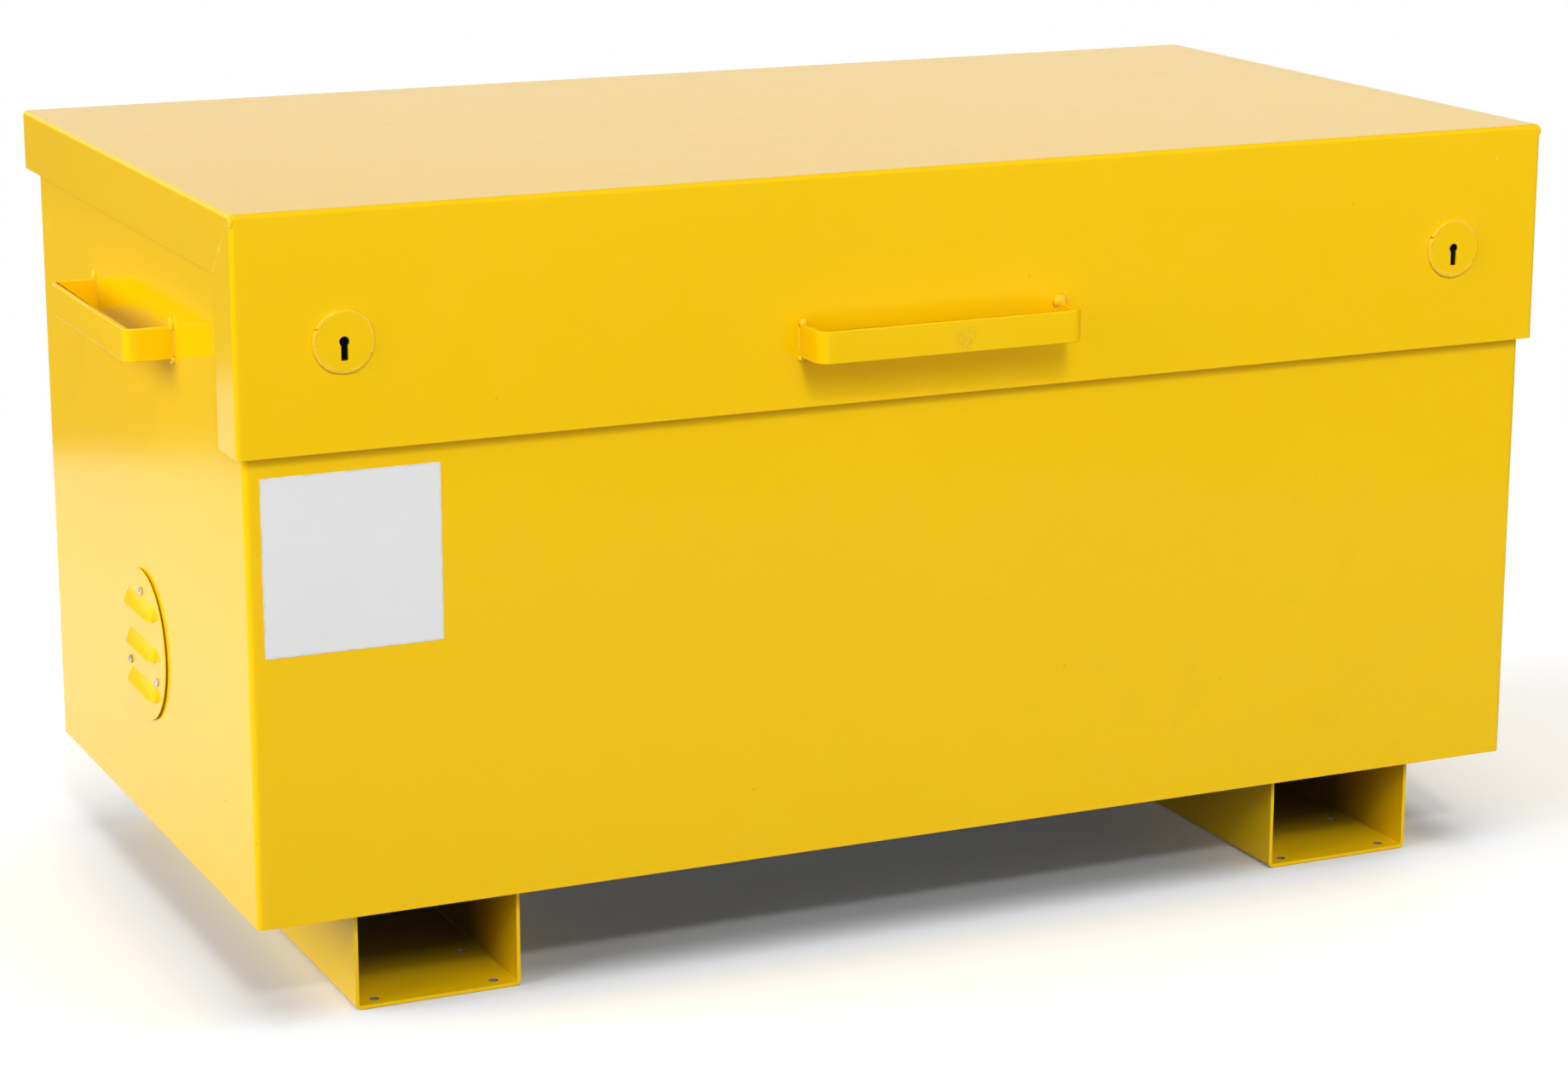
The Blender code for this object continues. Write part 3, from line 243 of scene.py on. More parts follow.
# Lumps of weld metal: half sizes and seed of each kind, and for those of the handles how far they
# stand out from the wall and past the edge of the bar
LUMPS = {
    "lid_handle_top": ((0.0062, 0.0042, 0.0058), 1.0, 0.0012, 0.0016),
    "lid_handle_foot": ((0.0046, 0.0030, 0.0030), 4.0, 0.0008, 0.0008),
    "end_handle_top": ((0.0032, 0.0042, 0.0068), 7.0, 0.0004, 0.0012),
    "end_handle_foot": ((0.0026, 0.0040, 0.0036), 9.0, 0.0004, 0.0008),
    "lid_corner_tack": ((0.0014, 0.0019, 0.0022), 12.0),
    "lid_corner_top": ((0.0019, 0.0019, 0.0040), 14.0),
}
LUMP_BROAD = 0.16
LUMP_BROAD_RATE = 1.9
LUMP_FINE = 0.07
LUMP_FINE_RATE = 5.0
HANDLE_BAR = 0.005
HANDLE_INSET = 0.002

# Welds round the lock plates
ESCUTCHEON_STEPS = 90
ESCUTCHEON_SINK = 0.0002
ESCUTCHEON_OUT = 0.0004

# Seam at the lid's corners: behind the front and below the top, at its two ends
SEAM_START = (0.004, 0.004)
SEAM_END = (0.047, 0.050)
SEAM_SINK = 0.00030
TACK_SHARE = 0.56
TACK_SINK = 0.0007
CORNER_SINK = 0.0016
CORNER_DROP = 0.0058

# Stitches of weld: length and gap, and where their lines start and end
SKID_STITCH = (0.045, 0.080)
SKID_INSET = 0.012
REAR_STITCH = (0.030, 0.075)
REAR_INSET = 0.030
REAR_FOOT = 0.030
REAR_HEAD = 0.070
HINGE_WELD_DROP = 0.014
SUMP_SINK = 0.0004

# Welds of the lock keeps on the front rim
KEEP_FRONT = 0.004
KEEP_REAR = 0.003
KEEP_INNER = 0.003
KEEP_OUTER = 0.009

# Spot welds of the stiffeners, as a profile of radius and height
SPOT_PROFILE = (
    (0, 0.00008), (0.0017, 0.00010), (0.0024, 0.00035), (0.0031, 0.00035), (0.0037, 0), (0, -0.0002),
)
SPOT_COUNT = 8
SPOT_INSET = 0.0075
SPOT_END = 0.030
STIFFENER_SHEET = 0.0015

# Vent screws: profile of the shank, and rings of the head as a share of its radius and a height.
# An arm of the recess has a half length, a half width and a depth.
SCREW_SHANK = ((0, -0.014), (0.002, -0.012), (0.002, 0))
SCREW_RIM = ((0.97, 0), (1.0, 0.0003), (1.0, 0.0008))
SCREW_TOP = ((0.42, 0.0022), (0, 0.0022))
SCREW_HEAD = 0.0022
SCREW_DOME_START = 0.0008
SCREW_DOME_FLAT = 0.46
SCREW_DOME_STEPS = 6
SCREW_SHARP = math.radians(35)
RECESS_ARM = (0.0021, 0.0005, 0.0014)
RECESS_START = 0.0023
RECESS_TAPER = 0.45
RECESS_WIDTH_KEPT = 0.4

# Vent plates and their louvres
VENT_SHEET = 0.0012
VENT_RIM = 0.0004
VENT_SHARP = math.radians(20)
VENT_HOLE = ((0, -0.004), (0.0023, -0.004), (0.0023, 0.004), (0, 0.004))
LOUVRE_COUNT = 3
LOUVRE_PITCH = 0.034
LOUVRE_LENGTH = 0.079
LOUVRE_SHIFT = 0.003
LOUVRE_HEIGHT = 0.0125
LOUVRE_PROUD = 0.0055
LOUVRE_END = 0.007
LOUVRE_SHEET = 0.0010
LOUVRE_STEPS = 6
LOUVRE_CROWN = 1.3

# Flange nuts on weld studs, as rings of radius and height
NUT_FLANGE = (
    (0, -0.0002), (0.0068, 0), (0.0070, 0.0007), (0.0066, 0.0013), (0.0058, 0.0018), (0, 0.0018),
)
NUT_RINGS = ((0.0058, 0.0012), (0.0058, 0.0046), (0.0053, 0.0055), (0.0036, 0.0056))
NUT_FLATS = 6
NUT_SHARP = math.radians(30)
STUD_START = ((0, 0.004), (0.0030, 0.004))
STUD_THREAD = ((0.0030, 0.0057), (0.0027, 0.00595))
STUD_END = ((0.0022, 0.0082), (0, 0.0082))
THREAD_COUNT = 4
THREAD_PITCH = 0.0005

# Nuts on the strut brackets: places from the brackets' edges, and turn of the first nut
BRACKET_SHEET = 0.003
BODY_NUT_EDGE = 0.009
BODY_NUT_TURN = 0.4
LID_NUT_EDGE = 0.010
LID_NUT_INSET = 0.011
LID_NUT_TURN = 0.2

# Edge rounding of the CAD nodes
FOLD_ANGLE = math.radians(42)
EDGE_WIDTHS = {
    "handle": 0.0010,
    "skid": 0.0007,
    "lid_shell": 0.0006,
    "body_band": 0.0006,
    "vent_plate": 0.0003,
    "vent_gasket": 0.0003,
    "lock_bolt": 0.0008,
    "lock_keep": 0.0007,
    "bracket": 0.0006,
    "hinge": 0.0006,
    "escutcheon": 0.0004,
}
EDGE_WIDTH = 0.0005

# Which finish each CAD node takes; what isn't named here is yellow
NODE_FINISHES = {
    "lock_case": "black",
    "lock_keep": "zinc",
    "bracket": "zinc",
    "hinge_pin": "steel",
    "strut_rod": "chrome",
    "strut_cylinder": "black",
    "vent_gasket": "rubber",
    "lock_bolt": "brass",
    "lid_shell": "lid",
    "sump_pan": "sump",
    "left_skid": "left_skid",
    "right_skid": "right_skid",
    "lid_handle": "handle",
}

# The colour sockets of a mix node, by number because other sockets share their names
MIX_INPUTS = (0, 6, 7)
MIX_RESULT = 2


# Shader nodes

def add_node(tree, kind, inputs=None, **settings):
    item = tree.nodes.new(kind)
    for name, value in settings.items():
        setattr(item, name, value)
    for name, value in (inputs or {}).items():
        set_input(tree, item.inputs[name], value)
    return item


def set_input(tree, socket, value):
    """Link a socket to another, or give it a value of its own."""
    if isinstance(value, bpy.types.NodeSocket):
        tree.links.new(value, socket)
    elif socket.type == "RGBA" and len(value) == 3:
        socket.default_value = (*value, 1.0)
    else:
        socket.default_value = value


def mix(tree, share, first, second):
    inputs = dict(zip(MIX_INPUTS, (share, first, second)))
    return add_node(tree, "ShaderNodeMix", inputs, data_type="RGBA").outputs[MIX_RESULT]


def mix_shaders(tree, share, first, second, output):
    inputs = {0: share, 1: first.outputs[0], 2: second.outputs[0]}
    choice = add_node(tree, "ShaderNodeMixShader", inputs)
    tree.links.new(choice.outputs[0], tree.nodes[output].inputs["Surface"])


def maths(tree, operation, first, second=0.0):
    return add_node(tree, "ShaderNodeMath", {0: first, 1: second}, operation=operation).outputs[0]


def multiply(tree, first, second):
    return maths(tree, "MULTIPLY", first, second)


def spread(tree, value, low, high, to_low=0.0, to_high=1.0):
    """Map a span of values to another, held at its ends."""
    inputs = {"Value": value, "From Min": low, "From Max": high, "To Min": to_low, "To Max": to_high}
    return add_node(tree, "ShaderNodeMapRange", inputs, clamp=True).outputs["Result"]


def object_places(tree, stretch=None, shift=0.0):
    places = add_node(tree, "ShaderNodeTexCoord").outputs["Object"]
    if stretch is None:
        return places
    inputs = {"Vector": places, "Scale": stretch, "Location": (shift, shift, shift)}
    return add_node(tree, "ShaderNodeMapping", inputs).outputs["Vector"]


def axes(tree, vector):
    """The three parts of a vector, by the name of the axis."""
    return add_node(tree, "ShaderNodeSeparateXYZ", {"Vector": vector}).outputs


def face_normal(tree, kind="Normal"):
    return add_node(tree, "ShaderNodeNewGeometry").outputs[kind]


def noise_value(tree, places, scale, detail):
    inputs = {"Vector": places, "Scale": scale, "Detail": detail}
    return add_node(tree, "ShaderNodeTexNoise", inputs).outputs["Fac"]


def layer(tree, places, kind):
    scale, detail, *spans = LAYERS[kind]
    return spread(tree, noise_value(tree, places, scale, detail), *spans)


def bump(tree, height, strength, depth, below=None):
    """Roughen a surface by a height, on top of another bump where there is one."""
    inputs = {"Height": height, "Strength": strength, "Distance": depth}
    if below is not None:
        inputs["Normal"] = below
    return add_node(tree, "ShaderNodeBump", inputs).outputs["Normal"]


def noise_bump(tree, places, kind, below=None):
    scale, detail, strength, depth = BUMPS[kind]
    return bump(tree, noise_value(tree, places, scale, detail), strength, depth, below)


def specks(tree, places, scale, size, rarity):
    """Small round marks in a few of the cells of a grid."""
    inputs = {"Vector": places, "Scale": scale}
    cells = add_node(tree, "ShaderNodeTexVoronoi", inputs)
    chance = add_node(tree, "ShaderNodeSeparateColor", {"Color": cells.outputs["Color"]}).outputs[0]
    near = spread(tree, cells.outputs["Distance"], size, size * SPECK_CORE)
    rare = maths(tree, "GREATER_THAN", chance, rarity)
    return multiply(tree, near, rare)


def vector_maths(tree, operation, first, second):
    inputs = {0: first, 1: second}
    return add_node(tree, "ShaderNodeVectorMath", inputs, operation=operation).outputs["Value"]


def distance_to(tree, places, place):
    return vector_maths(tree, "DISTANCE", places, place)


def edge_share(tree):
    """How close a point is to an outer or inner edge."""
    rounded = add_node(tree, "ShaderNodeBevel", {"Radius": EDGE_RADIUS}, samples=3).outputs["Normal"]
    return spread(tree, vector_maths(tree, "DOT_PRODUCT", rounded, face_normal(tree)), *EDGE_LEAN)


def seen_share(tree):
    """1 for rays from the camera and for mirrored and refracted ones, 0 for those that carry light."""
    path = add_node(tree, "ShaderNodeLightPath").outputs
    mirrored = maths(tree, "MAXIMUM", path["Is Glossy Ray"], path["Is Transmission Ray"])
    return maths(tree, "MAXIMUM", path["Is Camera Ray"], mirrored)


def start_material(name):
    material = bpy.data.materials.new(name)
    material.use_nodes = True
    tree = material.node_tree
    return material, tree, tree.nodes["Principled BSDF"]


def set_shader(tree, shader, **values):
    for name, value in values.items():
        set_input(tree, shader.inputs[name.replace("_", " ")], value)


# Materials

def depth_between(tree, place, low, high):
    from_low = maths(tree, "SUBTRACT", place, low)
    from_high = maths(tree, "SUBTRACT", high, place)
    return maths(tree, "MINIMUM", from_low, from_high)


def channel_tints(tree, places, node):
    """Painted shade on the faces that look at a channel's middle, and darkened walls of the holes in its
    floor.
    """
    low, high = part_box(node)
    spot = axes(tree, places)
    look = axes(tree, face_normal(tree))
    from_sides = depth_between(tree, spot["X"], low.x, high.x)
    from_ends = depth_between(tree, spot["Y"], low.y, high.y)
    across = maths(tree, "SUBTRACT", (low.x + high.x) / 2, spot["X"])
    inward = maths(tree, "GREATER_THAN", multiply(tree, across, look["X"]), LOOKS_INWARD)
    upward = maths(tree, "GREATER_THAN", look["Z"], LOOKS_UP)
    inner = maths(tree, "MAXIMUM", inward, upward)
    # painted shade, darker from the channel's mouths inward
    shade_inside = multiply(tree, inner, spread(tree, from_ends, *SHADE_INWARD))
    between = maths(tree, "GREATER_THAN", from_sides, HOLE_EDGE)
    upright = maths(tree, "LESS_THAN", maths(tree, "ABSOLUTE", look["Z"]), STANDS_UPRIGHT)
    ahead = maths(tree, "GREATER_THAN", maths(tree, "ABSOLUTE", look["Y"]), LOOKS_AHEAD)
    lips = multiply(tree, ahead, maths(tree, "LESS_THAN", from_ends, HOLE_EDGE))
    # walls of the holes: bare steel darkened as painted shade
    walls = multiply(tree, between, upright)
    walls = multiply(tree, walls, maths(tree, "SUBTRACT", 1.0, lips))
    return [(shade_inside, PAINTED_SHADE), (walls, HOLE_WALL_SHADE)]


def lean_sides(tree, places, lean, below):
    """Tip the faces that look sideways a little, like a fold that is not quite square."""
    look = axes(tree, face_normal(tree, "True Normal"))["X"]
    sideways = maths(tree, "GREATER_THAN", maths(tree, "ABSOLUTE", look), LOOKS_SIDEWAYS)
    rise = axes(tree, places)["Z"]
    return bump(tree, multiply(tree, rise, sideways), 1.0, lean, below)


def make_powder_coat(
    name, wear=1.0, rub=False, channel=None, below=False, shift=0.0, lean=0.0, ior=PAINT_IOR
):
    """Glossy yellow powder coat with orange peel, soft waves and faint scuffs, its edges paler from wear
    and painted highlight, and painted shade inside channels and on downward faces where asked.
    """
    material, tree, shader = start_material(name)
    places = object_places(tree)
    broad = noise_value(tree, places, *COAT_BROAD)
    drags = layer(tree, object_places(tree, DRAG_STRETCH), "coat_drags")
    dots = specks(tree, places, *COAT_SPECKS)
    stains = layer(tree, places, "coat_stains")
    tints = [
        (layer(tree, places, "coat_clouds"), YELLOW_PALE),
        (multiply(tree, drags, wear), SCUFF),
        (multiply(tree, dots, SPECK_SHARE * wear), SPECK),
        (multiply(tree, stains, spread(tree, broad, *COAT_STAINED)), SCUFF),
    ]
    # small marks, the pale one a painted highlight of a dent
    for place, radius, tint in MARKS:
        reach = distance_to(tree, places, place)
        tints.append((spread(tree, reach, radius, radius * MARK_CORE, 0.0, MARK_SHARE), tint))
    # paler edges: partly wear, partly a painted highlight along the rounded edges
    worn_and_lit = multiply(tree, edge_share(tree), layer(tree, places, "coat_worn_and_lit_edges"))
    tints.append((worn_and_lit, YELLOW_PALE))
    rough = layer(tree, places, "coat_roughness")
    if rub:
        reach = distance_to(tree, places, RUB_PLACE)
        inside = spread(tree, reach, RUB_RADIUS, RUB_RADIUS * RUB_CORE)
        rubbed = multiply(tree, inside, layer(tree, places, "rub_grain"))
        tints.append((multiply(tree, rubbed, RUB_SHARE), RUBBED))
        rough = maths(tree, "ADD", rough, multiply(tree, rubbed, RUB_ROUGHNESS))
    if channel:
        tints += channel_tints(tree, places, channel)
    # painted shade on the faces that look downward, where asked
    if below:
        look = axes(tree, face_normal(tree))["Z"]
        tints.append((spread(tree, look, *SHADE_DOWNWARD), PAINTED_SHADE))
    colour = mix(tree, spread(tree, broad, *COAT_TONE), YELLOW_DEEP, YELLOW)
    for share, tint in tints:
        colour = mix(tree, share, colour, tint)
    normal = noise_bump(tree, object_places(tree, WAVE_STRETCH, shift), "coat_waves")
    if lean:
        normal = lean_sides(tree, places, lean, normal)
    normal = noise_bump(tree, places, "coat_peel", normal)
    set_shader(tree, shader, Base_Color=colour, Roughness=rough, Normal=normal, IOR=ior)
    return material


def make_metal(name, dark, light, grain, roughness, stretch=None, bumpiness=0.04, metallic=1.0):
    """Metal whose grain varies colour and roughness, with darker handling marks."""
    material, tree, shader = start_material(name)
    places = object_places(tree)
    streaks = noise_value(tree, object_places(tree, stretch), grain, METAL_GRAIN_DETAIL)
    patches = noise_value(tree, places, *METAL_PATCHES)
    tone = multiply(tree, maths(tree, "ADD", streaks, patches), 0.5)
    colour = mix(tree, spread(tree, tone, *METAL_TONE), dark, light)
    marks = multiply(tree, specks(tree, places, *METAL_SPECKS), METAL_SPECK_SHARE)
    colour = mix(tree, marks, colour, dark)
    rough = spread(tree, tone, *METAL_ROUGH_TONE, *roughness)
    normal = bump(tree, streaks, bumpiness, METAL_BUMP_DEPTH)
    set_shader(tree, shader, Base_Color=colour, Roughness=rough, Normal=normal, Metallic=metallic)
    return material


def make_black(name, scale, roughness, bumps, dusty=False):
    """Black enamel with faint dust, or matt black rubber."""
    material, tree, shader = start_material(name)
    places = object_places(tree)
    tone = noise_value(tree, places, scale, BLACK_DETAIL)
    colour = mix(tree, spread(tree, tone, *TONE_SPAN), *BLACK)
    if dusty:
        colour = mix(tree, layer(tree, places, "enamel_dust"), colour, DUST)
    rough = spread(tree, tone, *TONE_SPAN, *roughness)
    normal = noise_bump(tree, places, bumps)
    set_shader(tree, shader, Base_Color=colour, Roughness=rough, Normal=normal)
    return material


def make_vinyl(name):
    """White adhesive vinyl, a little greyer where its edges hold dirt."""
    material, tree, shader = start_material(name)
    places = object_places(tree)
    spot = axes(tree, places)
    across = maths(tree, "DIVIDE", maths(tree, "ABSOLUTE", spot["X"]), PLATE_HALF_WIDTH)
    upward = maths(tree, "DIVIDE", maths(tree, "ABSOLUTE", spot["Z"]), PLATE_HALF_HEIGHT)
    rim = spread(tree, maths(tree, "MAXIMUM", across, upward), *VINYL_RIM)
    tone = noise_value(tree, places, *VINYL_NOISE)
    colour = mix(tree, spread(tree, tone, *VINYL_TINT), VINYL, VINYL_EDGE)
    dirt = multiply(tree, rim, layer(tree, places, "vinyl_dirt"))
    colour = mix(tree, dirt, colour, VINYL_EDGE)
    rough = spread(tree, tone, *TONE_SPAN, *VINYL_ROUGHNESS)
    normal = noise_bump(tree, places, "vinyl_peel")
    set_shader(tree, shader, Base_Color=colour, Roughness=rough, Normal=normal, IOR=1.4)
    return material


def make_floor_material(name):
    """Pale floor that fades to plain white towards its edge."""
    material, tree, shader = start_material(name)
    places = object_places(tree)
    colour = mix(tree, layer(tree, places, "floor_tone"), FLOOR_DEEP, FLOOR)
    seen = seen_share(tree)
    colour = mix(tree, seen, FLOOR_BOUNCE, colour)
    set_shader(tree, shader, Base_Color=colour, Roughness=0.75, Specular_IOR_Level=0.0)
    glow = multiply(tree, seen, FLOOR_GLOW)
    set_shader(tree, shader, Emission_Color=FLOOR_GLOW_COLOUR, Emission_Strength=glow)
    reach = distance_to(tree, places, (0.0, 0.0, 0.0))
    outer = multiply(tree, spread(tree, reach, FLOOR_FADE, FLOOR_RADIUS), seen)
    white = add_node(tree, "ShaderNodeEmission", {"Color": WHITE, "Strength": 1.0})
    mix_shaders(tree, outer, shader, white, "Material Output")
    return material


def make_materials():
    return {
        "yellow": make_powder_coat("yellow_coat"),
        "weld": make_powder_coat("yellow_coat_weld", ior=WELD_IOR),
        "lid": make_powder_coat("yellow_coat_lid", shift=3.7, lean=0.09),
        # the sump takes painted shade on its downward faces, and the skids take it inside
        "sump": make_powder_coat("yellow_coat_sump", wear=2.6, below=True),
        "left_skid": make_powder_coat("yellow_coat_left_skid", channel="left_skid"),
        "right_skid": make_powder_coat("yellow_coat_right_skid", channel="right_skid"),
        "handle": make_powder_coat("yellow_coat_handle", rub=True),
        "zinc": make_metal("zinc_plate", *ZINC, grain=90.0, roughness=(0.26, 0.42), metallic=0.6),
        "steel": make_metal("bare_steel", *STEEL, grain=60.0, roughness=(0.28, 0.44), stretch=(12, 1, 1)),
        "chrome": make_metal("chromed_rod", *CHROME, grain=120.0, roughness=(0.07, 0.14), bumpiness=0.01),
        "brass": make_metal("brass_bolt", *BRASS, grain=30.0, roughness=(0.22, 0.36), stretch=(1, 12, 12)),
        "black": make_black("black_enamel", 18.0, roughness=(0.24, 0.38), bumps="enamel_peel", dusty=True),
        "rubber": make_black("gasket_rubber", 40.0, roughness=(0.66, 0.85), bumps="rubber_grain"),
        "vinyl": make_vinyl("white_vinyl"),
    }


# Pieces

def to_mesh(name, shape):
    mesh = bpy.data.meshes.new(name)
    shape.to_mesh(mesh)
    shape.free()
    return mesh


def make_mesh(name, shape):
    """Turn a shape into a mesh whose faces look outward."""
    bmesh.ops.recalc_face_normals(shape, faces=shape.faces)
    return to_mesh(name, shape)


def finish_mesh(mesh, finish, angle=None):
    """Give a mesh a finish and smooth shading, with edges sharp past an angle."""
    mesh.materials.clear()
    mesh.materials.append(materials[finish])
    mesh.shade_smooth()
    if angle is not None:
        mesh.set_sharp_from_angle(angle=angle)


def show(name, data):
    item = bpy.data.objects.new(name, data)
    bpy.context.scene.collection.objects.link(item)
    return item


def add_mesh(name, mesh, finish, body, angle=None, node=None):
    """Show a mesh in world places as a piece that rides on a body, in place of a CAD node if named."""
    finish_mesh(mesh, finish, angle)
    piece = show(name, mesh)
    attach(piece, body)
    if node:
        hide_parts(node)


def add_piece(name, shape, finish, body, angle=None):
    add_mesh(name, make_mesh(name, shape), finish, body, angle)


def carve(name, base, steps):
    """Join shapes to a base or cut them from it, and return the finished mesh."""
    plain = show(name + "_plain", make_mesh(name + "_plain", base))
    tools = []
    for operation, shape in steps:
        tool = show(name + "_tool", make_mesh(name + "_tool", shape))
        modifier = plain.modifiers.new(operation.lower(), "BOOLEAN")
        modifier.operation = operation
        modifier.object = tool
        tools.append(tool)
    bpy.context.view_layer.update()
    evaluated = plain.evaluated_get(bpy.context.evaluated_depsgraph_get())
    final = bpy.data.meshes.new_from_object(evaluated)
    for item in [plain] + tools:
        bpy.data.objects.remove(item, do_unlink=True)
    return final


def add_band(shape, lower, upper):
    """Join two rings of the same number of corners by a band of faces."""
    count = len(lower)
    for index in range(count):
        after = (index + 1) % count
        shape.faces.new((lower[index], lower[after], upper[after], upper[index]))


def circle_points(radius, height, steps):
    points = []
    for index in range(steps):
        angle = FULL_TURN * index / steps
        points.append(Vector((radius * math.cos(angle), radius * math.sin(angle), height)))
    return points


def add_turned(shape, profile, turn, steps):
    """Turn a profile of radius and height about its own axis. It starts and ends on the axis."""
    rings = []
    for radius, height in profile:
        points = circle_points(radius, height, steps if radius else 1)
        rings.append([shape.verts.new(turn @ point) for point in points])
    for lower, upper in zip(rings, rings[1:]):
        for index in range(steps):
            after = (index + 1) % steps
            corners = [lower[index % len(lower)], lower[after % len(lower)]]
            corners += [upper[after % len(upper)], upper[index % len(upper)]]
            shape.faces.new(list(dict.fromkeys(corners)))


def facing(direction, place):
    """Matrix that stands a turned shape on a place, pointing along a direction."""
    turn = Vector(direction).to_track_quat("Z", "Y").to_matrix().to_4x4()
    return Matrix.Translation(place) @ turn


# White plate

def rounded_outline(half_width, half_height, radius):
    """Rounded rectangle about the origin, with points along its straight sides too."""
    corners = []
    for index, (side_x, side_z) in enumerate(((1, 1), (-1, 1), (-1, -1), (1, -1))):
        centre = Vector((side_x * (half_width - radius), side_z * (half_height - radius)))
        for step in range(PLATE_CORNER_STEPS + 1):
            angle = (index + step / PLATE_CORNER_STEPS) * QUARTER_TURN
            corners.append(centre + radius * Vector((math.cos(angle), math.sin(angle))))
    outline = []
    for start, end in zip(corners, corners[1:] + corners[:1]):
        count = PLATE_EDGE_STEPS if (end - start).length > 4 * radius else 1
        outline += [start.lerp(end, index / count) for index in range(count)]
    return outline


def make_plate():
    """Thin vinyl with a few soft bubbles under it."""
    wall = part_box("body_band")[0].y
    outline = rounded_outline(PLATE_HALF_WIDTH, PLATE_HALF_HEIGHT, PLATE_CORNER)
    shape = bmesh.new()
    back = [shape.verts.new((point.x, 0, point.y)) for point in outline]
    rings = []
    for ring in range(PLATE_RINGS):
        share = 1 - ring / PLATE_RINGS
        corners = []
        for point in outline:
            spot = point * share
            place = Vector((spot.x * BUBBLE_RATE, spot.y * BUBBLE_RATE, BUBBLE_ROW))
            bubble = BUBBLE_HEIGHT * max(0.0, noise.noise(place))
            rise = PLATE_THICKNESS + (bubble if ring else 0)
            corners.append(shape.verts.new((spot.x, -rise, spot.y)))
        rings.append(corners)
    middle = shape.verts.new((0, -PLATE_THICKNESS, 0))
    for lower, upper in zip([back] + rings, rings):
        add_band(shape, lower, upper)
    inner = rings[-1]
    for corner, after in zip(inner, inner[1:] + inner[:1]):
        shape.faces.new((corner, after, middle))
    shape.faces.new(back)
    mesh = make_mesh("front_plate", shape)
    finish_mesh(mesh, "vinyl", FOLD_ANGLE)
    piece = show("front_plate", mesh)
    piece.location = ((PLATE_LEFT + PLATE_RIGHT) / 2, wall, (PLATE_BOTTOM + PLATE_TOP) / 2)
    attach(piece, "chest")


# Welds

def resample(points, closed):
    """Points at even steps along a line of straight runs."""
    corners = [Vector(point) for point in points]
    if closed:
        corners.append(corners[0])
    result = []
    for start, end in zip(corners, corners[1:]):
        count = max(1, round((end - start).length / BEAD_STEP))
        result += [start.lerp(end, index / count) for index in range(count)]
    if not closed:
        result.append(corners[-1])
    return result


def bead_noise(along, seed, row):
    rate, stretch, place = row
    return noise.noise(Vector((along * rate, seed * stretch, place)))


def add_bead(shape, points, kind, number=0, closed=False):
    """Add a weld bead: a rippled tube whose lower half sinks into the corner that it fills."""
    radius, seed, unevenness = BEADS[kind]
    seed += number
    line = resample(points, closed)
    count = len(line)
    rings = []
    for index, point in enumerate(line):
        before = line[index - 1] if index or closed else point
        after = line[(index + 1) % count] if index < count - 1 or closed else point
        ahead = (after - before).normalized()
        side = ahead.orthogonal().normalized()
        if abs(ahead.z) < BEAD_STEEP:
            side = ahead.cross(Vector((0, 0, 1))).normalized()
        up = ahead.cross(side)
        along = index * BEAD_STEP
        waver = 2 * bead_noise(along, seed, BEAD_WAVER)
        ripple = BEAD_RIPPLE * math.sin(FULL_TURN * along / BEAD_PITCH + waver)
        lump = unevenness * bead_noise(along, seed, BEAD_FINE)
        lump += unevenness * bead_noise(along, seed, BEAD_COARSE)
        swell = radius * (1 + ripple + lump)
        if not closed:
            reach = min(index, count - 1 - index) * BEAD_STEP / radius
            swell *= math.sqrt(max(BEAD_TIP, 1 - max(0.0, 1 - reach) ** 2))
        centre = point + side * bead_noise(along, seed, BEAD_WANDER) * radius * unevenness * BEAD_DRIFT
        ring = []
        for turn in range(BEAD_SIDES):
            angle = FULL_TURN * turn / BEAD_SIDES
            ring.append(shape.verts.new(centre + (side * math.cos(angle) + up * math.sin(angle)) * swell))
        rings.append(ring)
    for lower, upper in zip(rings, rings[1:]):
        add_band(shape, lower, upper)
    if closed:
        add_band(shape, rings[-1], rings[0])
    else:
        shape.faces.new(rings[0])
        shape.faces.new(rings[-1])


def add_lump(shape, place, kind, number=0, size=1.0):
    radii, seed = LUMPS[kind][:2]
    seed += number
    start = len(shape.verts)
    bmesh.ops.create_icosphere(shape, subdivisions=3, radius=1.0)
    shape.verts.ensure_lookup_table()
    for corner in shape.verts[start:]:
        direction = corner.co.normalized()
        swell = 1 + LUMP_BROAD * noise.noise(direction * LUMP_BROAD_RATE + Vector((seed, 0, 0)))
        swell += LUMP_FINE * noise.noise(direction * LUMP_FINE_RATE + Vector((0, seed, 0)))
        offset = Vector(part * radius * size for part, radius in zip(direction, radii)) * swell
        corner.co = Vector(place) + offset


def add_handle_welds(shape, kind, ends, levels, stand, number=0, top_sizes=(1.0, 1.0)):
    """Add beads along both legs of a handle, and a lump above and below each leg."""
    bottom, top = levels
    legs = ((ends[0], ends[0] + HANDLE_BAR), (ends[1], ends[1] - HANDLE_BAR))
    for index, (outer, inner) in enumerate(legs):
        middle = (outer + inner) / 2
        for spot in (outer, inner):
            line = [stand(spot, 0, bottom + HANDLE_INSET), stand(spot, 0, top - HANDLE_INSET)]
            add_bead(shape, line, kind, index + spot)
        out, past = LUMPS[kind + "_top"][2:]
        add_lump(shape, stand(middle, out, top + past), kind + "_top", index + number, top_sizes[index])
        out, past = LUMPS[kind + "_foot"][2:]
        add_lump(shape, stand(middle, out, bottom - past), kind + "_foot", index + number)


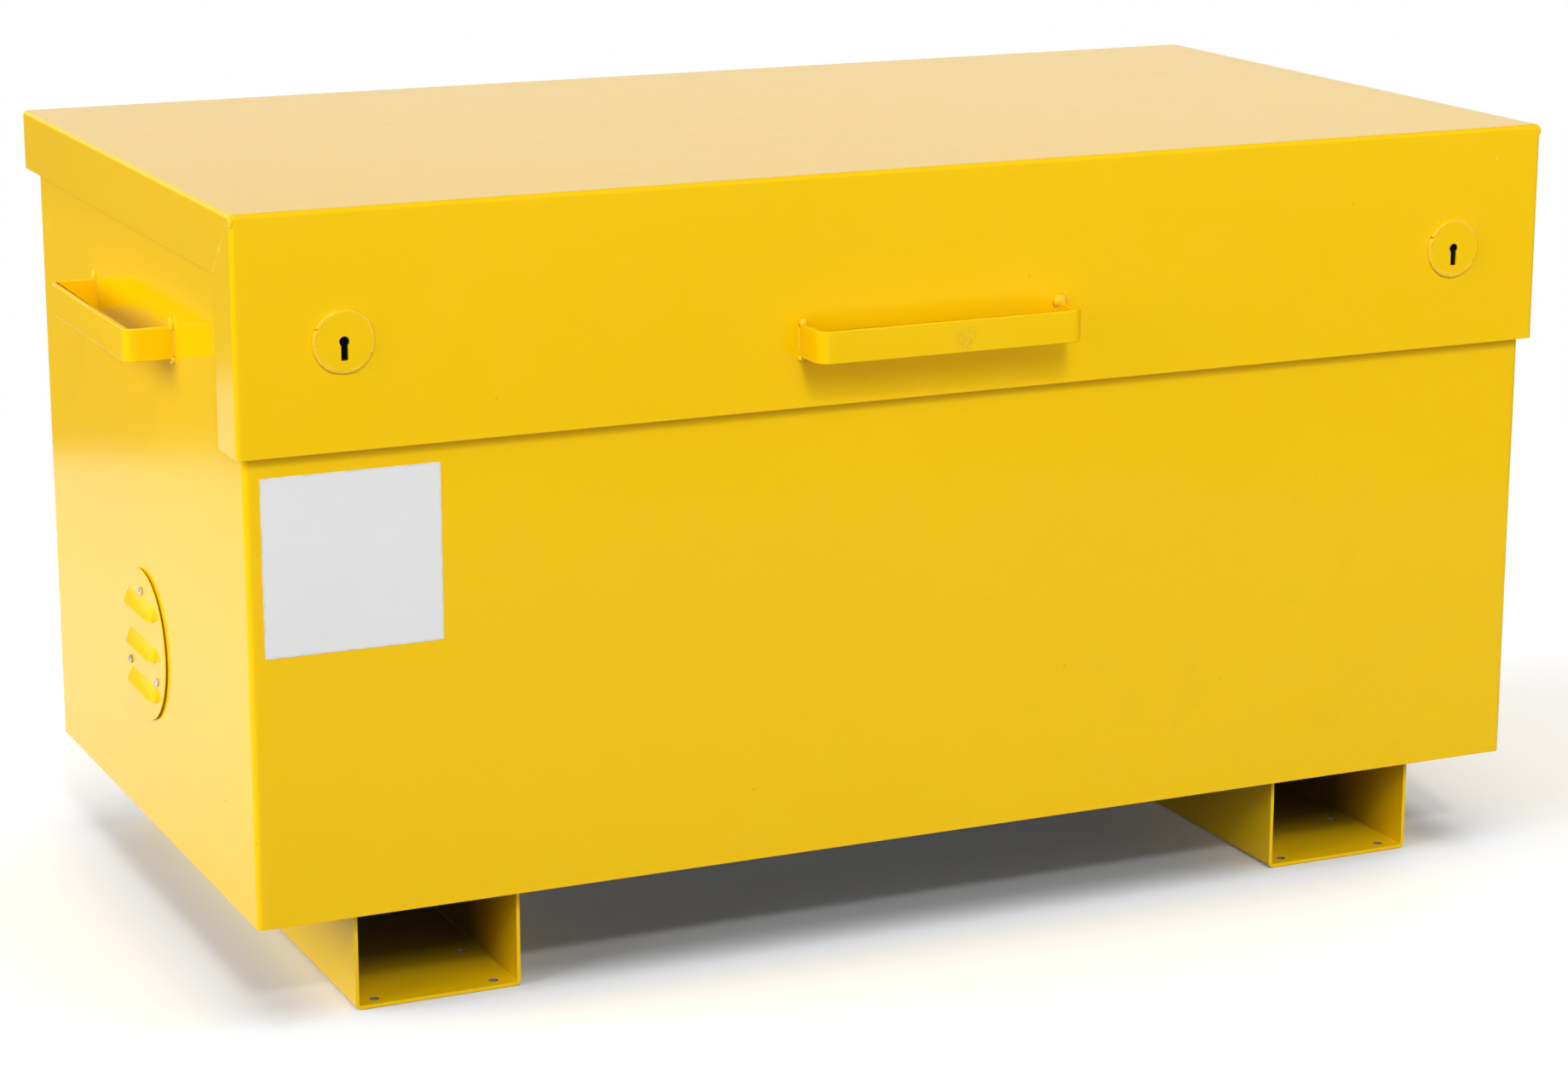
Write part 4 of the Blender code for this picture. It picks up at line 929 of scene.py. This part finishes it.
def make_lid_handle_welds():
    low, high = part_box("lid_handle")
    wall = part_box("lid_shell")[0].y

    def stand(along, out, level):
        return along, wall - out, level

    shape = bmesh.new()
    ends = (low.x, high.x)
    add_handle_welds(shape, "lid_handle", ends, (low.z, high.z), stand, top_sizes=(0.62, 1.0))
    add_piece("lid_handle_welds", shape, "weld", "lid")


def make_end_handle_welds(name, side):
    low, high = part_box(name + "_end_handle")
    body_low, body_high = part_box("body_band")
    wall = body_low.x if side < 0 else body_high.x

    def stand(along, out, level):
        return wall + side * out, along, level

    shape = bmesh.new()
    add_handle_welds(shape, "end_handle", (low.y, high.y), (low.z, high.z), stand, side)
    add_piece(name + "_end_handle_welds", shape, "weld", "chest")


def make_escutcheon_weld(name, side):
    low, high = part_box(name + "_escutcheon")
    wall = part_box("lid_shell")[0].y
    centre = (low + high) / 2
    radius = (high.z - low.z) / 2 - ESCUTCHEON_SINK
    line = []
    for point in circle_points(radius, 0, ESCUTCHEON_STEPS):
        line.append((centre.x + point.x, wall - ESCUTCHEON_OUT, centre.z + point.y))
    shape = bmesh.new()
    add_bead(shape, line, "escutcheon", side, closed=True)
    add_piece(name + "_escutcheon_weld", shape, "weld", "lid")


def make_lid_corner_welds(name, side):
    """Seam where the flap's return meets the lid's side, ground flush but for a tack and a lump."""
    low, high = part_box("lid_shell")
    wall = low.x if side < 0 else high.x
    line = []
    for behind, beneath in (SEAM_START, SEAM_END):
        line.append(Vector((wall - side * SEAM_SINK, low.y + behind, high.z - beneath)))
    shape = bmesh.new()
    add_bead(shape, line, "lid_corner", side)
    middle = line[0].lerp(line[1], TACK_SHARE)
    middle.x = wall - side * TACK_SINK
    add_lump(shape, middle, "lid_corner_tack", side)
    corner = (wall - side * CORNER_SINK, low.y + CORNER_SINK, high.z - CORNER_DROP)
    add_lump(shape, corner, "lid_corner_top", side)
    add_piece(name + "_lid_corner_weld", shape, "weld", "lid")


def add_stitches(shape, start, end, kind, order, length, gap):
    whole = (end - start).length
    ahead = (end - start).normalized()
    count = max(1, round((whole + gap) / (length + gap)))
    room = (whole - count * length) / (count - 1) if count > 1 else 0
    for index in range(count):
        first = start + ahead * index * (length + room)
        run = [first, first + ahead * length]
        add_bead(shape, run, kind, order * SEEDS_PER_LINE + index)


def make_skid_welds(name):
    """Stitches along both sides of a skid, under the sump."""
    low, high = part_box(name + "_skid")
    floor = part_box("sump_pan")[0].z
    shape = bmesh.new()
    for order, across in enumerate((low.x, high.x)):
        start = Vector((across, low.y + SKID_INSET, floor))
        end = Vector((across, high.y - SKID_INSET, floor))
        add_stitches(shape, start, end, "skid", order, *SKID_STITCH)
    add_piece(name + "_skid_welds", shape, "yellow", "chest")


def make_hinge_welds():
    """Fillets round the three leaves that are welded on the rear panel."""
    shape = bmesh.new()
    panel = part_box("rear_panel")[1].y
    hinge = next(joint for joint in frame["joints"] if joint["name"] == "lid_hinge")
    top = hinge["pos_m"][2] - HINGE_WELD_DROP
    for index in (1, 2, 3):
        low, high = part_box("body_hinge_leaf_" + str(index))
        line = [(low.x, panel, top), (low.x, panel, low.z), (high.x, panel, low.z), (high.x, panel, top)]
        add_bead(shape, line, "hinge", index)
    add_piece("body_hinge_welds", shape, "yellow", "chest")


def make_rear_seams():
    """Stitches where the body's returns lap over the rear panel."""
    low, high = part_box("body_band")
    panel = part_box("rear_panel")[1].y
    shape = bmesh.new()
    for order, side in enumerate((-1, 1)):
        across = side * (high.x - REAR_INSET)
        start = Vector((across, panel, low.z + REAR_FOOT))
        end = Vector((across, panel, high.z - REAR_HEAD))
        add_stitches(shape, start, end, "rear_seam", order, *REAR_STITCH)
    add_piece("rear_seam_welds", shape, "yellow", "chest")


def make_sump_seam():
    """Liquid-tight bead round the top of the sump's walls."""
    low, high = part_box("sump_pan")
    left, right = low.x + SUMP_SINK, high.x - SUMP_SINK
    front, rear = low.y + SUMP_SINK, high.y - SUMP_SINK
    corners = ((left, front), (right, front), (right, rear), (left, rear))
    shape = bmesh.new()
    line = [(x, y, high.z) for x, y in corners]
    add_bead(shape, line, "sump", closed=True)
    add_piece("sump_seam", shape, "yellow", "chest")


def make_lock_box_welds(name, side):
    """Tacks that hold a lock's cover on the flap, over the middle third of each edge."""
    low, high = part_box(name + "_lock_box")
    wall = low.y
    third = (high - low) / 3
    shape = bmesh.new()
    for order, across in enumerate((low.x, high.x)):
        line = [(across, wall, low.z + third.z), (across, wall, high.z - third.z)]
        add_bead(shape, line, "lock_box_side", order + side)
    for order, height in enumerate((low.z, high.z)):
        line = [(low.x + third.x, wall, height), (high.x - third.x, wall, height)]
        add_bead(shape, line, "lock_box_end", order + side)
    add_piece(name + "_lock_box_welds", shape, "yellow", "lid")


def make_lock_keep_welds(name, side):
    """Fillets along the inner side and the rear of a lock's keep, on the front rim."""
    low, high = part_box(name + "_lock_keep")
    rim_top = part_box("front_rim")[1].z
    rim_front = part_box("front_rim")[0].y
    shape = bmesh.new()
    inner, outer = sorted((low.x, high.x), key=abs)
    line = [(inner, rim_front + KEEP_FRONT, rim_top), (inner, high.y - KEEP_REAR, rim_top)]
    add_bead(shape, line, "keep_side", side)
    line = [(inner + side * KEEP_INNER, high.y, rim_top), (outer - side * KEEP_OUTER, high.y, rim_top)]
    add_bead(shape, line, "keep_rear", side)
    add_piece(name + "_lock_keep_welds", shape, "yellow", "chest")


def make_stiffener_spots():
    shape = bmesh.new()
    for index in (1, 2):
        low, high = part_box("lid_stiffener_" + str(index))
        level = high.z - STIFFENER_SHEET
        run = high.y - low.y - 2 * SPOT_END
        for across in (low.x + SPOT_INSET, high.x - SPOT_INSET):
            for step in range(SPOT_COUNT):
                along = low.y + SPOT_END + run * step / (SPOT_COUNT - 1)
                stand = facing((0, 0, -1), (across, along, level))
                add_turned(shape, SPOT_PROFILE, stand, steps=18)
    add_piece("stiffener_spot_welds", shape, "yellow", "lid")


# Fasteners

def add_wedge(shape, half_length, half_width, depth):
    """Add a bar that tapers downward, for one arm of a cross recess."""
    rings = []
    for height, share in ((0, 1.0), (-depth, RECESS_TAPER)):
        length = half_length * share
        width = half_width * (RECESS_WIDTH_KEPT + (1 - RECESS_WIDTH_KEPT) * share)
        corners = ((length, width), (-length, width), (-length, -width), (length, -width))
        rings.append([shape.verts.new((x, y, height)) for x, y in corners])
    shape.faces.new(rings[0])
    shape.faces.new(rings[1])
    add_band(shape, *rings)


def make_screw(name, side):
    """Pan-head screw with a cross recess, in place of the plain CAD screw."""
    low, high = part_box(name)
    middle = (low + high) / 2
    seat = Vector((high.x - SCREW_HEAD if side > 0 else low.x + SCREW_HEAD, middle.y, middle.z))
    radius = (high.z - low.z) / 2
    rings = list(SCREW_RIM)
    for step in range(1, SCREW_DOME_STEPS):
        angle = step / SCREW_DOME_STEPS * QUARTER_TURN
        share = SCREW_DOME_FLAT + (1 - SCREW_DOME_FLAT) * math.cos(angle)
        rings.append((share, SCREW_DOME_START + (SCREW_HEAD - SCREW_DOME_START) * math.sin(angle)))
    rings += SCREW_TOP
    profile = list(SCREW_SHANK) + [(radius * share, height) for share, height in rings]
    shape = bmesh.new()
    add_turned(shape, profile, facing((side, 0, 0), seat), steps=28)
    spin = random.Random(name).uniform(0, QUARTER_TURN)
    recess = facing((side, 0, 0), seat + Vector((side * RECESS_START, 0, 0)))
    arms = []
    for quarter in (0, QUARTER_TURN):
        arm = bmesh.new()
        add_wedge(arm, *RECESS_ARM)
        turned = recess @ Matrix.Rotation(spin + quarter, 4, "Z")
        bmesh.ops.transform(arm, matrix=turned, verts=arm.verts)
        arms.append(("DIFFERENCE", arm))
    mesh = carve(name, shape, arms)
    add_mesh(name + "_cross_head", mesh, "zinc", "chest", SCREW_SHARP, name)


def add_flange_nut(shape, place, direction, spin):
    """Add a flanged hexagon nut on the end of a weld stud."""
    stand = facing(direction, place) @ Matrix.Rotation(spin, 4, "Z")
    add_turned(shape, NUT_FLANGE, stand, steps=28)
    rings = []
    for radius, height in NUT_RINGS:
        points = circle_points(radius, height, NUT_FLATS)
        rings.append([shape.verts.new(stand @ point) for point in points])
    for lower, upper in zip(rings, rings[1:]):
        add_band(shape, lower, upper)
    shape.faces.new(rings[0])
    shape.faces.new(rings[-1])
    stud = list(STUD_START)
    for thread in range(THREAD_COUNT):
        stud += [(radius, height + thread * THREAD_PITCH) for radius, height in STUD_THREAD]
    stud += STUD_END
    add_turned(shape, stud, stand, steps=20)


def make_bracket_nuts(name, side):
    low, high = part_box(name + "_strut_body_bracket")
    plate = (high.x if side > 0 else low.x) - side * BRACKET_SHEET
    middle = (low + high) / 2
    shape = bmesh.new()
    for order, height in enumerate((low.z + BODY_NUT_EDGE, high.z - BODY_NUT_EDGE)):
        add_flange_nut(shape, (plate, middle.y, height), (-side, 0, 0), BODY_NUT_TURN + order)
    add_piece(name + "_strut_body_nuts", shape, "zinc", "chest", NUT_SHARP)
    low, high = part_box(name + "_strut_lid_bracket")
    level = high.z - BRACKET_SHEET
    inner = min((low.x, high.x), key=abs)
    shape = bmesh.new()
    for order, along in enumerate((low.y + LID_NUT_EDGE, high.y - LID_NUT_EDGE)):
        place = (inner + side * LID_NUT_INSET, along, level)
        add_flange_nut(shape, place, (0, 0, -1), LID_NUT_TURN + order)
    add_piece(name + "_strut_lid_nuts", shape, "zinc", "lid", NUT_SHARP)


# Vent plates

def add_hood(shape, middle, shrink, back):
    """Add one louvre: a slanted face that leaves the plate at its top and stands proud at its foot."""
    half = LOUVRE_LENGTH / 2 - shrink
    end = LOUVRE_END - shrink
    height = LOUVRE_HEIGHT - 2 * shrink
    bottom = middle - LOUVRE_HEIGHT / 2 - shrink
    proud = LOUVRE_PROUD - shrink
    points = []
    for side in (-1, 1):
        for step in range(LOUVRE_STEPS + 1):
            angle = step / LOUVRE_STEPS * QUARTER_TURN
            along = side * (half - end + end * math.cos(angle))
            share = math.sin(angle)
            points.append((back, along, bottom))
            points.append((back, along, bottom + share * height))
            for part in range(LOUVRE_STEPS + 1):
                rise = part / LOUVRE_STEPS
                out = share * proud * (1 - rise ** LOUVRE_CROWN)
                points.append((out, along, bottom + share * rise * height))
    corners = [shape.verts.new(point) for point in dict.fromkeys(points)]
    bmesh.ops.convex_hull(shape, input=corners)


def add_hoods(shrink, back, stand):
    """All louvres of a plate as one shape, or their hollows when shrunk."""
    shape = bmesh.new()
    for index in range(LOUVRE_COUNT):
        hood = bmesh.new()
        add_hood(hood, (index - (LOUVRE_COUNT - 1) / 2) * LOUVRE_PITCH, shrink, back)
        loose = [corner for corner in hood.verts if not corner.link_faces]
        bmesh.ops.delete(hood, geom=loose, context="VERTS")
        bmesh.ops.transform(hood, matrix=stand, verts=hood.verts)
        mesh = to_mesh("hood", hood)
        shape.from_mesh(mesh)
        bpy.data.meshes.remove(mesh)
    return shape


def make_vent_plate(name, side):
    """Round plate with pressed louvres, in place of the plainer CAD plate."""
    node = name + "_vent_plate"
    low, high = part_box(node)
    centre = (low + high) / 2
    back = low.x if side > 0 else high.x
    face = Vector((back + side * VENT_SHEET, centre.y, centre.z))
    hoods = face + Vector((0, LOUVRE_SHIFT, 0))
    stand = Matrix.Translation(hoods) @ Matrix.Diagonal((side, 1, 1, 1))
    radius = (high.z - low.z) / 2
    profile = [(0, -VENT_SHEET), (radius - VENT_RIM, -VENT_SHEET), (radius, -VENT_SHEET + VENT_RIM)]
    profile += [(radius, -VENT_RIM), (radius - VENT_RIM, 0), (0, 0)]
    disc = bmesh.new()
    add_turned(disc, profile, facing((side, 0, 0), face), steps=96)
    steps = [("UNION", add_hoods(0, -VENT_SHEET / 2, stand))]
    steps.append(("DIFFERENCE", add_hoods(LOUVRE_SHEET, -2 * VENT_SHEET, stand)))
    for index in (1, 2, 3):
        screw_low, screw_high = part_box(name + "_vent_screw_" + str(index))
        place = Vector((back, *((screw_low + screw_high) / 2).yz))
        hole = bmesh.new()
        add_turned(hole, VENT_HOLE, facing((side, 0, 0), place), steps=20)
        steps.append(("DIFFERENCE", hole))
    mesh = carve(node, disc, steps)
    add_mesh(node + "_pressed", mesh, "yellow", "chest", VENT_SHARP, node)


# CAD nodes

def lookup(table, name, fallback):
    """The first value whose key is part of a name."""
    for key, value in table.items():
        if key in name:
            return value
    return fallback


def dress_nodes():
    """Give each CAD node its finish and round its edges a little."""
    for name, node in frame["nodes"].items():
        finish = lookup(NODE_FINISHES, name, "yellow")
        for slot in node.material_slots:
            slot.link = "OBJECT"
            slot.material = materials[finish]
        weld = node.modifiers.new("weld", "WELD")
        weld.merge_threshold = 0.00002
        rounding = node.modifiers.new("rounding", "BEVEL")
        rounding.width = lookup(EDGE_WIDTHS, name, EDGE_WIDTH)
        rounding.segments = 2
        rounding.limit_method = "ANGLE"
        rounding.angle_limit = FOLD_ANGLE
        rounding.use_clamp_overlap = True
        node.modifiers.new("normals", "WEIGHTED_NORMAL")


def dress_part():
    make_plate()
    make_lid_handle_welds()
    make_hinge_welds()
    make_rear_seams()
    make_sump_seam()
    make_stiffener_spots()
    for name, side in SIDES:
        make_end_handle_welds(name, side)
        make_escutcheon_weld(name, side)
        make_lid_corner_welds(name, side)
        make_skid_welds(name)
        make_lock_box_welds(name, side)
        make_lock_keep_welds(name, side)
        make_bracket_nuts(name, side)
        make_vent_plate(name, side)
        for index in (1, 2, 3):
            make_screw(name + "_vent_screw_" + str(index), side)


# Stage

def make_floor():
    shape = bmesh.new()
    bmesh.ops.create_circle(shape, cap_ends=True, cap_tris=True, segments=128, radius=FLOOR_RADIUS)
    mesh = to_mesh("floor", shape)
    mesh.materials.append(make_floor_material("pale_floor"))
    floor = show("floor", mesh)
    floor.location.z = -FLOOR_DROP
    return floor


def make_lights(floor):
    """Soft lamps from far away. At level 1 a white matt face turned to one renders as white."""
    for name, direction, level, spread_angle, mirrored, floor_link in LAMPS:
        light = bpy.data.lights.new(name, "SUN")
        light.energy = level * math.pi
        light.angle = math.radians(spread_angle)
        lamp = show(name, light)
        lamp.rotation_euler = Vector(direction).to_track_quat("Z", "Y").to_euler()
        lamp.visible_glossy = mirrored
        if floor_link:
            receivers = bpy.data.collections.new(name + "_receivers")
            receivers.objects.link(floor)
            receivers.collection_objects[0].light_linking.link_state = floor_link
            lamp.light_linking.receiver_collection = receivers


def make_world():
    """White for the camera, a graded studio for mirrors, and a little even light for the rest."""
    world = bpy.data.worlds.new("studio")
    bpy.context.scene.world = world
    world.use_nodes = True
    tree = world.node_tree
    light = tree.nodes["Background"]
    set_input(tree, light.inputs["Color"], WHITE)
    set_input(tree, light.inputs["Strength"], WORLD_LIGHT)
    height = axes(tree, add_node(tree, "ShaderNodeTexCoord").outputs["Generated"])["Z"]
    foot = spread(tree, height, *WALL_FOOT)
    head = spread(tree, height, *WALL_HEAD)
    mirrored = maths(tree, "MINIMUM", foot, head)
    camera_ray = add_node(tree, "ShaderNodeLightPath").outputs["Is Camera Ray"]
    level = maths(tree, "MAXIMUM", mirrored, camera_ray)
    white = add_node(tree, "ShaderNodeBackground", {"Color": WHITE, "Strength": level})
    mix_shaders(tree, seen_share(tree), light, white, "World Output")


def make_camera():
    data = bpy.data.cameras.new("camera")
    data.sensor_fit = "HORIZONTAL"
    data.sensor_width = SENSOR_WIDTH
    data.lens = FOCAL_PIXELS * SENSOR_WIDTH / IMAGE_WIDTH
    camera = show("camera", data)
    flat = math.cos(CAMERA_ELEVATION)
    across = math.sin(CAMERA_AZIMUTH) * flat
    behind = -math.cos(CAMERA_AZIMUTH) * flat
    back = Vector((across, behind, math.sin(CAMERA_ELEVATION)))
    aim = (-back).to_track_quat("-Z", "Y").to_matrix().to_4x4()
    camera.matrix_world = Matrix.Translation(CAMERA_PLACE) @ aim @ Matrix.Rotation(CAMERA_ROLL, 4, "Z")
    bpy.context.scene.camera = camera


materials = make_materials()
make_camera()
make_lights(make_floor())
make_world()
dress_nodes()
dress_part()
bpy.context.scene.view_settings.view_transform = "Standard"
